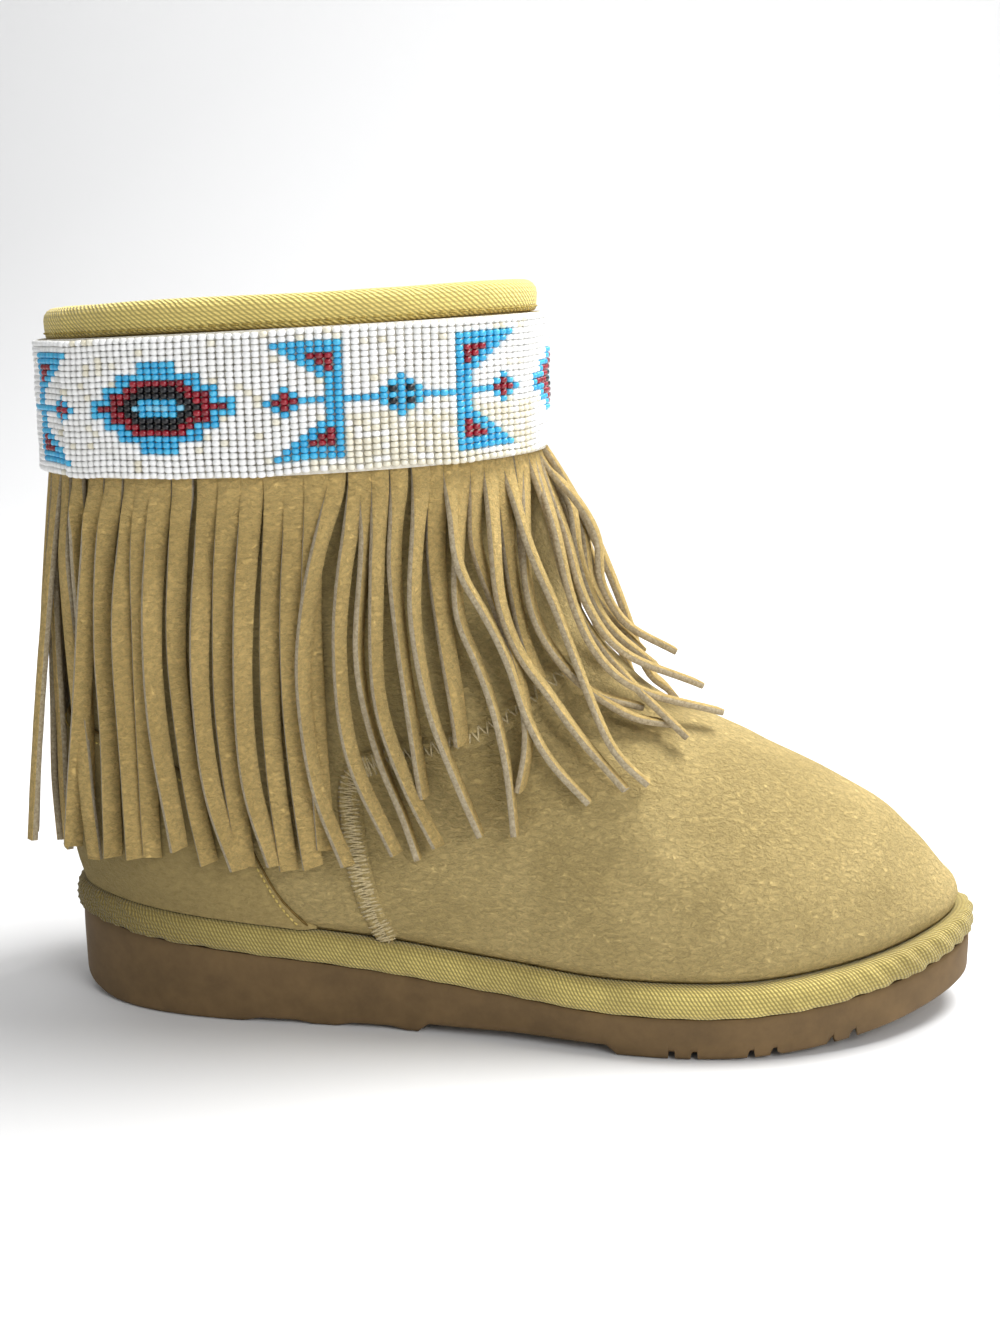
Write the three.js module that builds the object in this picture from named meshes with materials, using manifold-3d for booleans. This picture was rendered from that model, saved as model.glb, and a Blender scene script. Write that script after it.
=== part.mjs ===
// Short pull-on suede boot for the right foot: a wedge outsole, a platform wrapped in twill tape,
// a hollow upper with a heel overlay and a raised instep seam, a bound collar, and a beaded band
// over a strip of suede that is cut into a long fringe. Millimetres, +X to the toe, +Y to the
// inner side of the foot, +Z up. The origin is under the middle of the boot, on the floor.
import * as THREE from "three";
import { mergeVertices } from "three/addons/utils/BufferGeometryUtils.js";
import Module from "manifold-3d";

const wasm = await Module();
wasm.setup();

// Driving dimensions of the sole.
const SOLE_LENGTH = 260;
const BALL_WIDTH = 94;
const HEEL_HEIGHT = 24.8; // outsole under the back of the heel
const HEEL_BREAST_HEIGHT = 17.4; // outsole where the heel ends
const FOREFOOT_HEIGHT = 11.4; // outsole under the ball
const TOE_SPRING = 9.6; // rise of the tread at the tip
const HEEL_BEVEL = 5; // rise of the tread at the very back
const SOLE_EDGE = 1.6; // rounding of the outsole's lower edge
const WAIST_RISE = 2.4; // how far the waist is lifted off the floor
const WAIST_FROM = 108; // start and end of the waist, from the back of the sole
const WAIST_TO = 164;
const WAIST_SLOPE = 3; // length of the slope at each end of the waist
const SCALLOP_DEPTH = 0.9; // shallow hollows along the heel's tread
const GROOVE_WIDTH = 1.6;
const GROOVE_DEPTH = 2;
const LUG_PITCH = 21;
const RIB_WIDTH = 6; // the narrow rib between two grooves
const WRAP_HEIGHT = 8.6; // platform with its tape
const WRAP_BULGE = 1.2;

// Driving dimensions of the upper.
const WALL = 3; // suede with its pressed backing
const INSTEP_HEIGHT = 86; // instep over the platform, where the foot turns into the shaft
const SHAFT_HEIGHT = 171.5; // collar over the platform, at the middle of the shaft
const SHAFT_LENGTH = 135; // opening at the collar, outside the suede
const SHAFT_WIDTH = 98.5;
const SHAFT_SETBACK = 1; // back of the shaft, ahead of the back of the sole
const COLLAR_RISE = 6; // how much higher the collar is in front than behind
const INSOLE_THICKNESS = 5;
const RIM_SLOPE = 0.3; // how much lower the collar's inner edge is than its outer one
const GAP = 0.3; // between curved pieces that meet

// Driving dimensions of the trim.
const COUNTER_HEIGHT = 50; // heel overlay at the back, over the platform
const COUNTER_REACH = 78; // heel overlay along the platform
const COUNTER_THICKNESS = 1.1;
const SEAM_WIDTH = 6.5;
const SEAM_THICKNESS = 1.2;
const BINDING_THICKNESS = 0.9;
const BINDING_DEPTH = 6.2; // tape below the collar's edge, outside and inside
const BAND_HEIGHT = 36;
const BAND_DROP = 7.4; // top of the band, below the collar's edge
const BAND_THICKNESS = 2;
const BAND_EASE = 0.6; // looseness of the band over the strip
const SUEDE_STRIP = 1.5; // thickness of the fringe's suede
const HEADER_MARGIN = 1.5; // band over the uncut edge of the fringe strip
const STRAND_COUNT = 76;
const STRAND_SLIT = 0.5; // space between two strands at the top
const STRAND_LENGTH = 108; // below the band
const STRAND_ROOT = 0.5; // part of a strand inside the uncut strip
const STRAND_STEPS = 5; // straight lengths in a strand that lies on the instep
const REAR_STRAND_STEPS = 3; // and in one that hangs straight
const STRAND_TAPER = 0.9; // share of its width that a strand keeps at its end

// Sections of the sole's outline, from heel to toe. at is a share of the length; centre and
// fullness are shares of the ball width: the middle line, and the half width before the ends
// are rounded off.
const OUTLINE = [
  { at: 0.0, centre: 0.0, fullness: 0.706 },
  { at: 0.05, centre: 0.0, fullness: 0.6 },
  { at: 0.1, centre: 0.0, fullness: 0.561 },
  { at: 0.2, centre: 0.0, fullness: 0.487 },
  { at: 0.3, centre: -0.005, fullness: 0.425 },
  { at: 0.4, centre: -0.018, fullness: 0.396 },
  { at: 0.5, centre: -0.031, fullness: 0.405 },
  { at: 0.6, centre: -0.034, fullness: 0.463 },
  { at: 0.7, centre: -0.011, fullness: 0.543 },
  { at: 0.8, centre: 0.014, fullness: 0.596 },
  { at: 0.9, centre: 0.047, fullness: 0.615 },
  { at: 1.0, centre: 0.073, fullness: 0.561 },
];

// Height of the outsole, at shares of the sole's length: sink runs from the heel's height, 0, over
// the breast's, 1, to the forefoot's, 2.
const WEDGE = [
  { at: 0.0, sink: 0 },
  { at: 0.35, sink: 1 },
  { at: 0.64, sink: 2 },
  { at: 1.0, sink: 2 },
];

// Sections of the last by height, half way up at the instep and 1 at the collar. back is a share
// of the sole's length behind the back of the sole; front runs from the throat of the shaft, 0, to
// the tip of the sole, 1; heel and fore scale the sole's outline in the rear and in the front; oval
// runs from the shape of the sole to the oval of the shaft; girth is a share of the shaft's width.
const SECTIONS = [
  { at: 0.0, back: -0.01, front: 0.978, heel: 0.93, fore: 0.945, oval: 0, girth: 0.47 },
  { at: 0.04, back: -0.002, front: 0.966, heel: 0.965, fore: 0.965, oval: 0, girth: 0.47 },
  { at: 0.066, back: 0.001, front: 0.941, heel: 0.98, fore: 0.965, oval: 0, girth: 0.47 },
  { at: 0.12, back: 0.004, front: 0.888, heel: 0.99, fore: 0.945, oval: 0, girth: 0.47 },
  { at: 0.17, back: 0.005, front: 0.827, heel: 0.99, fore: 0.91, oval: 0, girth: 0.47 },
  { at: 0.216, back: 0.004, front: 0.75, heel: 0.98, fore: 0.87, oval: 0.02, girth: 0.47 },
  { at: 0.29, back: 0.001, front: 0.602, heel: 0.97, fore: 0.81, oval: 0.07, girth: 0.47 },
  { at: 0.35, back: -0.001, front: 0.421, heel: 0.96, fore: 0.78, oval: 0.14, girth: 0.47 },
  { at: 0.38, back: -0.002, front: 0.309, heel: 0.96, fore: 0.77, oval: 0.2, girth: 0.47 },
  { at: 0.43, back: -0.003, front: 0.213, heel: 0.96, fore: 0.77, oval: 0.34, girth: 0.472 },
  { at: 0.495, back: -0.004, front: 0.122, heel: 0.96, fore: 0.77, oval: 0.54, girth: 0.475 },
  { at: 0.577, back: -0.003, front: 0.057, heel: 0.96, fore: 0.77, oval: 0.76, girth: 0.48 },
  { at: 0.68, back: -0.001, front: 0.019, heel: 0.96, fore: 0.77, oval: 0.93, girth: 0.487 },
  { at: 0.78, back: 0.0, front: 0.002, heel: 0.96, fore: 0.77, oval: 1, girth: 0.494 },
  { at: 1.0, back: 0.0, front: 0.0, heel: 0.96, fore: 0.77, oval: 1, girth: 0.5 },
];

// Front edge of the heel overlay: along is a share of its reach, up a share of its height.
const COUNTER_EDGE = [
  { along: 1.0, up: 0.0 },
  { along: 0.93, up: 0.15 },
  { along: 0.885, up: 0.37 },
  { along: 0.85, up: 0.58 },
  { along: 0.74, up: 0.78 },
  { along: 0.5, up: 0.92 },
  { along: 0.0, up: 1.0 },
];

// The raised seam on one side: along is a share of the sole's length, up a share of the instep's
// height. It starts at the platform, turns a corner and runs up over the instep.
const SEAM = [
  { along: 0.39, up: -0.12 },
  { along: 0.364, up: 0.14 },
  { along: 0.352, up: 0.3 },
  { along: 0.347, up: 0.47 },
  { along: 0.354, up: 0.555 },
  { along: 0.378, up: 0.6 },
  { along: 0.43, up: 0.664 },
  { along: 0.482, up: 0.732 },
  { along: 0.53, up: 0.824 },
  { along: 0.58, up: 0.94 },
  { along: 0.64, up: 1.1 },
];

// How the fringe falls. at runs round the shaft from the middle of the back to the middle of the
// front; early and late are forward leans in the upper and the lower half, out is how steeply the
// strands leave the boot before they fall back to it, and twist is in quarter turns.
const FALL = [
  { at: 0.0, early: 0.0, late: -0.16, out: 0.03, twist: 0.2 },
  { at: 0.18, early: -0.06, late: -0.06, out: 0.02, twist: 0 },
  { at: 0.34, early: 0.0, late: 0.18, out: 0.02, twist: 0 },
  { at: 0.48, early: -0.14, late: 0.24, out: 0.03, twist: 0.1 },
  { at: 0.6, early: -0.2, late: 0.4, out: 0.05, twist: 0.35 },
  { at: 0.74, early: -0.06, late: 0.5, out: 0.15, twist: 0.7 },
  { at: 0.88, early: 0.05, late: 0.75, out: 0.4, twist: 0.8 },
  { at: 1.0, early: 0.08, late: 0.95, out: 0.6, twist: 0.8 },
];

// Section of the platform's tape: up is a share of the platform's height, grow of its bulge.
const WRAP_PROFILE = [
  { up: 0, grow: -0.5 },
  { up: 0.12, grow: 0.6 },
  { up: 0.35, grow: 1 },
  { up: 0.7, grow: 0.95 },
  { up: 0.92, grow: 0.3 },
  { up: 1, grow: -1.2 },
];

// Section of a scallop in the tread: along is a share of its length, deep of its depth.
const SCALLOP_PROFILE = [
  { along: 0.88, deep: 0 },
  { along: 0.7, deep: 1 },
  { along: 0.3, deep: 1 },
  { along: 0.12, deep: 0 },
];

const EDGE_FACET = 0.3; // share of the outsole's rounding where its two flats meet
const SCALLOPS_FROM = 0.5; // share of the way to the waist where the scallops start
const SCALLOPS = 2;
const FIRST_GROOVE = 0.7; // pitches from the end of the waist to the first pair of grooves
const CROWN_CORNER = 0.7; // share of the tape's thickness at the corners of its crown
const SEAM_LENGTHS = 14; // straight lengths in the raised seam
const SAMPLE_STEP = 0.02; // levels between two samples of the upper
const FINE_STEPS = 720; // steps round the shaft when its length is measured
const FLATNESS = 0.03; // how far the fringe's faces may move when they are merged

const AROUND = 44; // points in a section
const UPPER_LEVELS = [0, 0.03, 0.07, 0.12, 0.17, 0.215, 0.26, 0.3, 0.335, 0.37, 0.41, 0.46, 0.52,
  0.59, 0.66, 0.73, 0.8, 1];
const COLLAR_LEVEL = 1;
const INSTEP_LEVEL = 0.5;

const HEEL_BACK = -SOLE_LENGTH / 2;
const SHAFT_BACK = HEEL_BACK + SHAFT_SETBACK;
const SHAFT_MIDDLE = SHAFT_BACK + SHAFT_LENGTH / 2;
const THROAT = SHAFT_BACK + SHAFT_LENGTH;

const clamp01 = (t) => Math.min(1, Math.max(0, t));
const smooth = (t) => clamp01(t) ** 2 * (3 - 2 * clamp01(t));
const lerp = (a, b, t) => a + (b - a) * t;

// A smooth curve through one column of a table, with no overshoot between its rows.
function curve(rows, key) {
  const x = rows.map((row) => row.at);
  const y = rows.map((row) => row[key]);
  const slope = x.slice(1).map((value, i) => (y[i + 1] - y[i]) / (value - x[i]));
  const tangent = x.map((_, i) => {
    if (i === 0) return slope[0];
    if (i === x.length - 1) return slope[i - 1];
    if (slope[i - 1] * slope[i] <= 0) return 0;
    return (2 * slope[i - 1] * slope[i]) / (slope[i - 1] + slope[i]);
  });
  return (t) => {
    let i = 0;
    while (i < x.length - 2 && t > x[i + 1]) i += 1;
    const span = x[i + 1] - x[i];
    const s = clamp01((t - x[i]) / span);
    const bend = span * s * (1 - s) * ((1 - s) * tangent[i] - s * tangent[i + 1]);
    return lerp(y[i], y[i + 1], s * s * (3 - 2 * s)) + bend;
  };
}

// Heights along the sole: the tread, the top of the outsole, and the top of the platform.
const SPRING_FROM = 0.7; // share of the sole's length
const BEVEL_TO = 0.075;
const share = (x) => (x - HEEL_BACK) / SOLE_LENGTH;
const sink = curve(WEDGE, "sink");
const spring = (x) => TOE_SPRING * clamp01((share(x) - SPRING_FROM) / (1 - SPRING_FROM)) ** 2;
const tread = (x) => spring(x) + HEEL_BEVEL * clamp01(1 - share(x) / BEVEL_TO) ** 2;

function bed(x) {
  const s = sink(share(x));
  const heel = lerp(HEEL_HEIGHT, HEEL_BREAST_HEIGHT, clamp01(s));
  return lerp(heel, FOREFOOT_HEIGHT, clamp01(s - 1)) + spring(x);
}
const platform = (x) => bed(x) + WRAP_HEIGHT;

// The sole's outline. A turn runs from the back of the heel along the outer side to the toe, and
// home along the inner side.
const soleCentre = curve(OUTLINE, "centre");
const soleFullness = curve(OUTLINE, "fullness");
const alongTurn = (turn) => (1 - Math.cos(turn)) / 2;

function soleEdge(turn) {
  const at = alongTurn(turn);
  const y = soleCentre(at) - Math.sin(turn) * soleFullness(at);
  return new THREE.Vector2(HEEL_BACK + at * SOLE_LENGTH, y * BALL_WIDTH);
}

// One point of the outline moved outwards by grow, at a height given by the place along the sole.
function solePoint(turn, grow, heightAt) {
  const step = 0.01;
  const along = soleEdge(turn + step).sub(soleEdge(turn - step)).normalize();
  const edge = soleEdge(turn);
  const x = edge.x + grow * along.y;
  return new THREE.Vector3(x, edge.y - grow * along.x, heightAt(x));
}

// The last. Heights over the platform count from the sole's own curve at the foot, and from the
// collar's tilted plane at the shaft.
const column = Object.fromEntries(
  ["back", "front", "heel", "fore", "oval", "girth"].map((key) => [key, curve(SECTIONS, key)]),
);
const SHAFT_RISE = SHAFT_HEIGHT - INSTEP_HEIGHT;
const FOOT_ENDS = 0.33; // level where the collar's plane starts to take over from the sole's curve

function tall(level) {
  if (level < INSTEP_LEVEL) return (INSTEP_HEIGHT * level) / INSTEP_LEVEL;
  return INSTEP_HEIGHT + (SHAFT_RISE * (level - INSTEP_LEVEL)) / (COLLAR_LEVEL - INSTEP_LEVEL);
}
const levelBelowCollar = (drop) => COLLAR_LEVEL - (drop * (COLLAR_LEVEL - INSTEP_LEVEL)) / SHAFT_RISE;

function height(x, level) {
  const tilt = (COLLAR_RISE * (x - SHAFT_MIDDLE)) / SHAFT_LENGTH;
  const collar = platform(SHAFT_MIDDLE) + tilt;
  return lerp(platform(x), collar, smooth((level - FOOT_ENDS) / INSTEP_LEVEL)) + tall(level);
}

const REAR_ENDS = 0.25; // shares of a section's length between which heel gives way to fore
const FORE_STARTS = 0.7;

function lastPoint(turn, level) {
  const at = alongTurn(turn);
  const back = lerp(HEEL_BACK, SHAFT_BACK, clamp01(level)) - column.back(level) * SOLE_LENGTH;
  const front = THROAT + column.front(level) * (SOLE_LENGTH / 2 - THROAT);
  const x = lerp(back, front, at);
  const toFore = smooth((at - REAR_ENDS) / (FORE_STARTS - REAR_ENDS));
  const scale = lerp(column.heel(level), column.fore(level), toFore);
  const foot = soleFullness(at) * BALL_WIDTH * scale;
  const half = lerp(foot, column.girth(level) * SHAFT_WIDTH, column.oval(level));
  const centre = soleCentre(at) * BALL_WIDTH * (1 - column.oval(level));
  return new THREE.Vector3(x, centre - Math.sin(turn) * half, height(x, level));
}

function lastNormal(turn, level) {
  const step = 0.004;
  const low = Math.max(level - step, 0);
  const high = Math.min(level + step, COLLAR_LEVEL);
  const around = lastPoint(turn + step, level).sub(lastPoint(turn - step, level));
  const upwards = lastPoint(turn, high).sub(lastPoint(turn, low));
  return around.cross(upwards).normalize();
}

// A point of the upper's outside moved outwards by out. Level 0 stays on the platform.
function formPoint(turn, level, out) {
  const point = lastPoint(turn, level).addScaledVector(lastNormal(turn, level), out);
  if (level <= 0) point.z = platform(point.x) + GAP;
  return point;
}

const turns = (count) => Array.from({ length: count }, (_, i) => (2 * Math.PI * i) / count);

// A point on the straight face between two corners of a section.
function facetPoint(turn, level, out) {
  const place = (turn * AROUND) / (2 * Math.PI);
  const corner = (k) => formPoint((2 * Math.PI * k) / AROUND, level, out);
  return corner(Math.floor(place)).lerp(corner(Math.floor(place) + 1), place % 1);
}

const soleRing = (grow, heightAt) => turns(AROUND).map((turn) => solePoint(turn, grow, heightAt));
const formRing = (level, out) => turns(AROUND).map((turn) => formPoint(turn, level, out));

// A solid from points and the triangles between them.
function solid(points, faces) {
  return new wasm.Manifold(
    new wasm.Mesh({
      numProp: 3,
      vertProperties: new Float32Array(points.flatMap((p) => [p.x, p.y, p.z])),
      triVerts: new Uint32Array(faces.flat()),
    }),
  );
}

// Faces between a lower ring and an upper ring, which start at points low and high.
function wallFaces(low, high, count) {
  return turns(count).flatMap((_, i) => {
    const j = (i + 1) % count;
    return [
      [low + i, low + j, high + j],
      [low + i, high + j, high + i],
    ];
  });
}

// Faces across a ring that starts at a point, from each side to the other, facing up or down.
function lidFaces(start, count, up) {
  const faces = [];
  for (let i = 0; i < count / 2; i += 1) {
    const [a, b] = [start + i, start + i + 1];
    const [c, d] = [start + count - i - 1, start + ((count - i) % count)];
    if (i > 0) faces.push([a, b, d]);
    if (i < count / 2 - 1) faces.push([b, c, d]);
  }
  return up ? faces : faces.map(([a, b, c]) => [a, c, b]);
}

// A solid through rings from the bottom to the top.
function slab(rings) {
  const count = rings[0].length;
  const top = (rings.length - 1) * count;
  const walls = rings.slice(1).flatMap((_, k) => wallFaces(k * count, (k + 1) * count, count));
  return solid(rings.flat(), [...lidFaces(0, count, false), ...walls, ...lidFaces(top, count, true)]);
}

// A ring whose section is a closed loop: up its outside and down its inside.
function hoop(rings) {
  const count = rings[0].length;
  const next = (k) => ((k + 1) % rings.length) * count;
  return solid(rings.flat(), rings.flatMap((_, k) => wallFaces(k * count, next(k), count)));
}

// The upper's own form, filled, out to a distance from its outside, and sunk below its base.
function formSolid(out, sunk) {
  const base = formRing(0, out).map((p) => p.setZ(p.z - sunk));
  return slab([base, ...UPPER_LEVELS.slice(sunk > 0 ? 0 : 1).map((level) => formRing(level, out))]);
}

// A side view, a list of [x, z], pushed right through the boot from side to side.
function prism(outline) {
  const width = 2 * BALL_WIDTH;
  const shape = new THREE.Shape(outline.map(([x, z]) => new THREE.Vector2(x, z)));
  const geometry = new THREE.ExtrudeGeometry(shape, { depth: width, bevelEnabled: false });
  geometry.rotateX(Math.PI / 2);
  geometry.translate(0, width / 2, 0);
  return fromGeometry(geometry);
}

function fromGeometry(geometry) {
  geometry.deleteAttribute("normal");
  geometry.deleteAttribute("uv");
  const merged = mergeVertices(geometry);
  return new wasm.Manifold(
    new wasm.Mesh({
      numProp: 3,
      vertProperties: Float32Array.from(merged.attributes.position.array),
      triVerts: Uint32Array.from(merged.index.array),
    }),
  );
}

function toGeometry(manifold) {
  const mesh = manifold.getMesh();
  const geometry = new THREE.BufferGeometry();
  geometry.setAttribute("position", new THREE.BufferAttribute(mesh.vertProperties, 3));
  geometry.setIndex(new THREE.BufferAttribute(mesh.triVerts, 1));
  geometry.computeVertexNormals();
  return geometry;
}

// Outsole: rounded lower edge, lifted waist, shallow scallops under the heel, and pairs of
// grooves across the forefoot.
function outsole() {
  const body = slab([
    soleRing(-SOLE_EDGE, tread),
    soleRing(-SOLE_EDGE * EDGE_FACET, (x) => tread(x) + SOLE_EDGE * EDGE_FACET),
    soleRing(0, (x) => tread(x) + SOLE_EDGE),
    soleRing(0, bed),
  ]);
  const below = -GROOVE_DEPTH;
  const waistFrom = HEEL_BACK + WAIST_FROM;
  const waistTo = HEEL_BACK + WAIST_TO;
  const cutters = [
    prism([
      [waistFrom, 0],
      [waistFrom, below],
      [waistTo, below],
      [waistTo, 0],
      [waistTo - WAIST_SLOPE, WAIST_RISE],
      [waistFrom + WAIST_SLOPE, WAIST_RISE],
    ]),
  ];
  const heelFlat = WAIST_FROM * SCALLOPS_FROM;
  const scallop = (WAIST_FROM - heelFlat) / SCALLOPS;
  const [front, rear] = [SCALLOP_PROFILE[0], SCALLOP_PROFILE.at(-1)];
  for (let k = 0; k < SCALLOPS; k += 1) {
    const x = HEEL_BACK + heelFlat + k * scallop;
    const hollow = SCALLOP_PROFILE.map(({ along, deep }) => [x + along * scallop, deep * SCALLOP_DEPTH]);
    const foot = [rear, front].map(({ along }) => [x + along * scallop, below]);
    cutters.push(prism([...hollow, ...foot]));
  }
  const lastGroove = SOLE_LENGTH / 2 - LUG_PITCH;
  for (let x = waistTo + LUG_PITCH * FIRST_GROOVE; x < lastGroove; x += LUG_PITCH) {
    for (const groove of [x, x + RIB_WIDTH]) {
      const top = spring(groove) + GROOVE_DEPTH;
      cutters.push(
        prism([
          [groove - GROOVE_WIDTH / 2, below],
          [groove + GROOVE_WIDTH / 2, below],
          [groove + GROOVE_WIDTH / 2, top],
          [groove - GROOVE_WIDTH / 2, top],
        ]),
      );
    }
  }
  return cutters.reduce((sole, cutter) => sole.subtract(cutter), body);
}

// Platform: its wrapped edge bulges between a groove at the outsole and one at the upper.
function platformWrap() {
  return slab(
    WRAP_PROFILE.map(({ up, grow }) =>
      soleRing(grow * WRAP_BULGE, (x) => lerp(bed(x) + GAP, platform(x), up)),
    ),
  );
}

// Upper: outside from the platform to the collar, and down the inside.
function upper() {
  const outside = UPPER_LEVELS.map((level) => formRing(level, 0));
  const coarse = UPPER_LEVELS.filter((level, i) => i < 2 || i % 2 === 0 || level === COLLAR_LEVEL);
  const rim = levelBelowCollar(RIM_SLOPE);
  const inside = coarse.map((level) => formRing(Math.min(level, rim), -WALL)).reverse();
  return hoop([...outside, ...inside]);
}

function insole() {
  const ring = (rise) => {
    const points = formRing(rise / (2 * INSTEP_HEIGHT), -WALL - 2 * GAP);
    points.forEach((p) => {
      p.z = platform(p.x) + rise + GAP;
    });
    return points;
  };
  return slab([ring(0), ring(INSOLE_THICKNESS)]);
}

// Suede laid over the upper where a side view covers it.
function overlay(thickness, sideView) {
  return formSolid(GAP + thickness, 0).subtract(formSolid(GAP, thickness)).intersect(sideView);
}

function heelCounter() {
  const behind = HEEL_BACK - BALL_WIDTH / 2;
  const edge = COUNTER_EDGE.map(({ along, up }) => {
    const x = HEEL_BACK + along * COUNTER_REACH;
    return [x, platform(x) + up * COUNTER_HEIGHT];
  });
  const top = platform(HEEL_BACK) + COUNTER_HEIGHT;
  return overlay(
    COUNTER_THICKNESS,
    prism([...edge, [behind, top], [behind, 0], [HEEL_BACK + COUNTER_REACH, 0]]),
  );
}

function vampSeam() {
  const path = new THREE.SplineCurve(
    SEAM.map(({ along, up }) => {
      const x = HEEL_BACK + along * SOLE_LENGTH;
      return new THREE.Vector2(x, height(x, up * INSTEP_LEVEL));
    }),
  );
  const stops = Array.from({ length: SEAM_LENGTHS + 1 }, (_, i) => i / SEAM_LENGTHS);
  const side = (t, sign) => {
    const point = path.getPoint(t);
    const along = path.getTangent(t);
    const half = (sign * SEAM_WIDTH) / 2;
    return [point.x - half * along.y, point.y + half * along.x];
  };
  const left = stops.map((t) => side(t, 1));
  const right = stops.map((t) => side(t, -1)).reverse();
  return overlay(SEAM_THICKNESS, prism([...left, ...right]));
}

// Tape folded over the collar: down the outside, over the edge and down the inside.
function collarBinding() {
  const fold = -GAP - BINDING_THICKNESS * CROWN_CORNER;
  const crown = -GAP - BINDING_THICKNESS;
  const outer = GAP + BINDING_THICKNESS;
  const inner = -WALL - outer;
  const ring = (drop, out) => formRing(levelBelowCollar(drop), out);
  return hoop([
    ring(BINDING_DEPTH, outer),
    ring(0, outer),
    ring(fold, GAP / 2),
    ring(crown, -WALL / 2),
    ring(fold, -WALL - GAP / 2),
    ring(0, inner),
    ring(BINDING_DEPTH, inner),
    ring(BINDING_DEPTH, -WALL - GAP),
    ring(RIM_SLOPE - GAP, -WALL - GAP),
    ring(-GAP, GAP),
    ring(BINDING_DEPTH, GAP),
  ]);
}

// A plain ring round the shaft, between two drops below the collar.
function cuff(top, bottom, inner, outer) {
  const ring = (drop, out) => formRing(levelBelowCollar(drop), out);
  return hoop([ring(bottom, outer), ring(top, outer), ring(top, inner), ring(bottom, inner)]);
}

const BAND_BOTTOM = BAND_DROP + BAND_HEIGHT;
const BAND_INNER = 2 * GAP + SUEDE_STRIP + BAND_EASE;
const beadedBand = () => cuff(BAND_DROP, BAND_BOTTOM, BAND_INNER, BAND_INNER + BAND_THICKNESS);

// Samples of the upper's outside, for the fringe to lie on.
function surfaceSamples() {
  const samples = [];
  for (let level = SAMPLE_STEP; level < COLLAR_LEVEL; level += SAMPLE_STEP) {
    for (const turn of turns(2 * AROUND)) {
      samples.push({ point: lastPoint(turn, level), normal: lastNormal(turn, level) });
    }
  }
  return samples;
}

const STRAND_CLEAR = 2 * GAP + Math.max(COUNTER_THICKNESS, SEAM_THICKNESS) + SUEDE_STRIP / 2;

// Moves a point off the upper until it clears the overlays too.
function liftOff(point, samples, clear) {
  let best = samples[0];
  let least = Infinity;
  for (const sample of samples) {
    const away = sample.point.distanceToSquared(point);
    if (away < least) {
      least = away;
      best = sample;
    }
  }
  const off = point.clone().sub(best.point).dot(best.normal);
  if (off < clear) point.addScaledVector(best.normal, clear - off);
  return best.normal;
}

// Equal steps round the shaft, as turns, from the middle of the back.
function evenTurns(count, level) {
  const fine = turns(FINE_STEPS).map((turn) => lastPoint(turn, level));
  const lengths = fine.map((p, i) => p.distanceTo(fine[(i + 1) % fine.length]));
  const total = lengths.reduce((sum, length) => sum + length, 0);
  const found = [];
  let walked = 0;
  lengths.forEach((length, i) => {
    while (found.length < count && walked + length > ((found.length + 0.5) * total) / count) {
      const part = (((found.length + 0.5) * total) / count - walked) / length;
      found.push((2 * Math.PI * (i + part)) / fine.length);
    }
    walked += length;
  });
  return { found, pitch: total / count };
}

const fall = Object.fromEntries(
  ["early", "late", "out", "twist"].map((key) => [key, curve(FALL, key)]),
);

const REAR_FALL = 0.44; // part of the way round where the fringe hangs straight
const TWIST_FROM = 0.2; // share of a strand's length that hangs flat
const TWIST_OVER = 0.625; // share of its length over which it turns
const LEAN_FROM = 0.25; // shares of its length between which early gives way to late
const LEAN_TO = 1.08;
const SETTLE_ROUNDS = 4; // times a point is set back to its length and off the boot
const ROOT_CLEAR = 0.1; // share of the clearance that a strand has at its root
const ROOT_THICKNESS = 0.8; // share of the suede's thickness at the root, inside the strip
const twist = (t) => smooth((t - TWIST_FROM) / TWIST_OVER);
const twistAngle = (at, t) => (fall.twist(at) * twist(t) * Math.PI) / 2;

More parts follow.
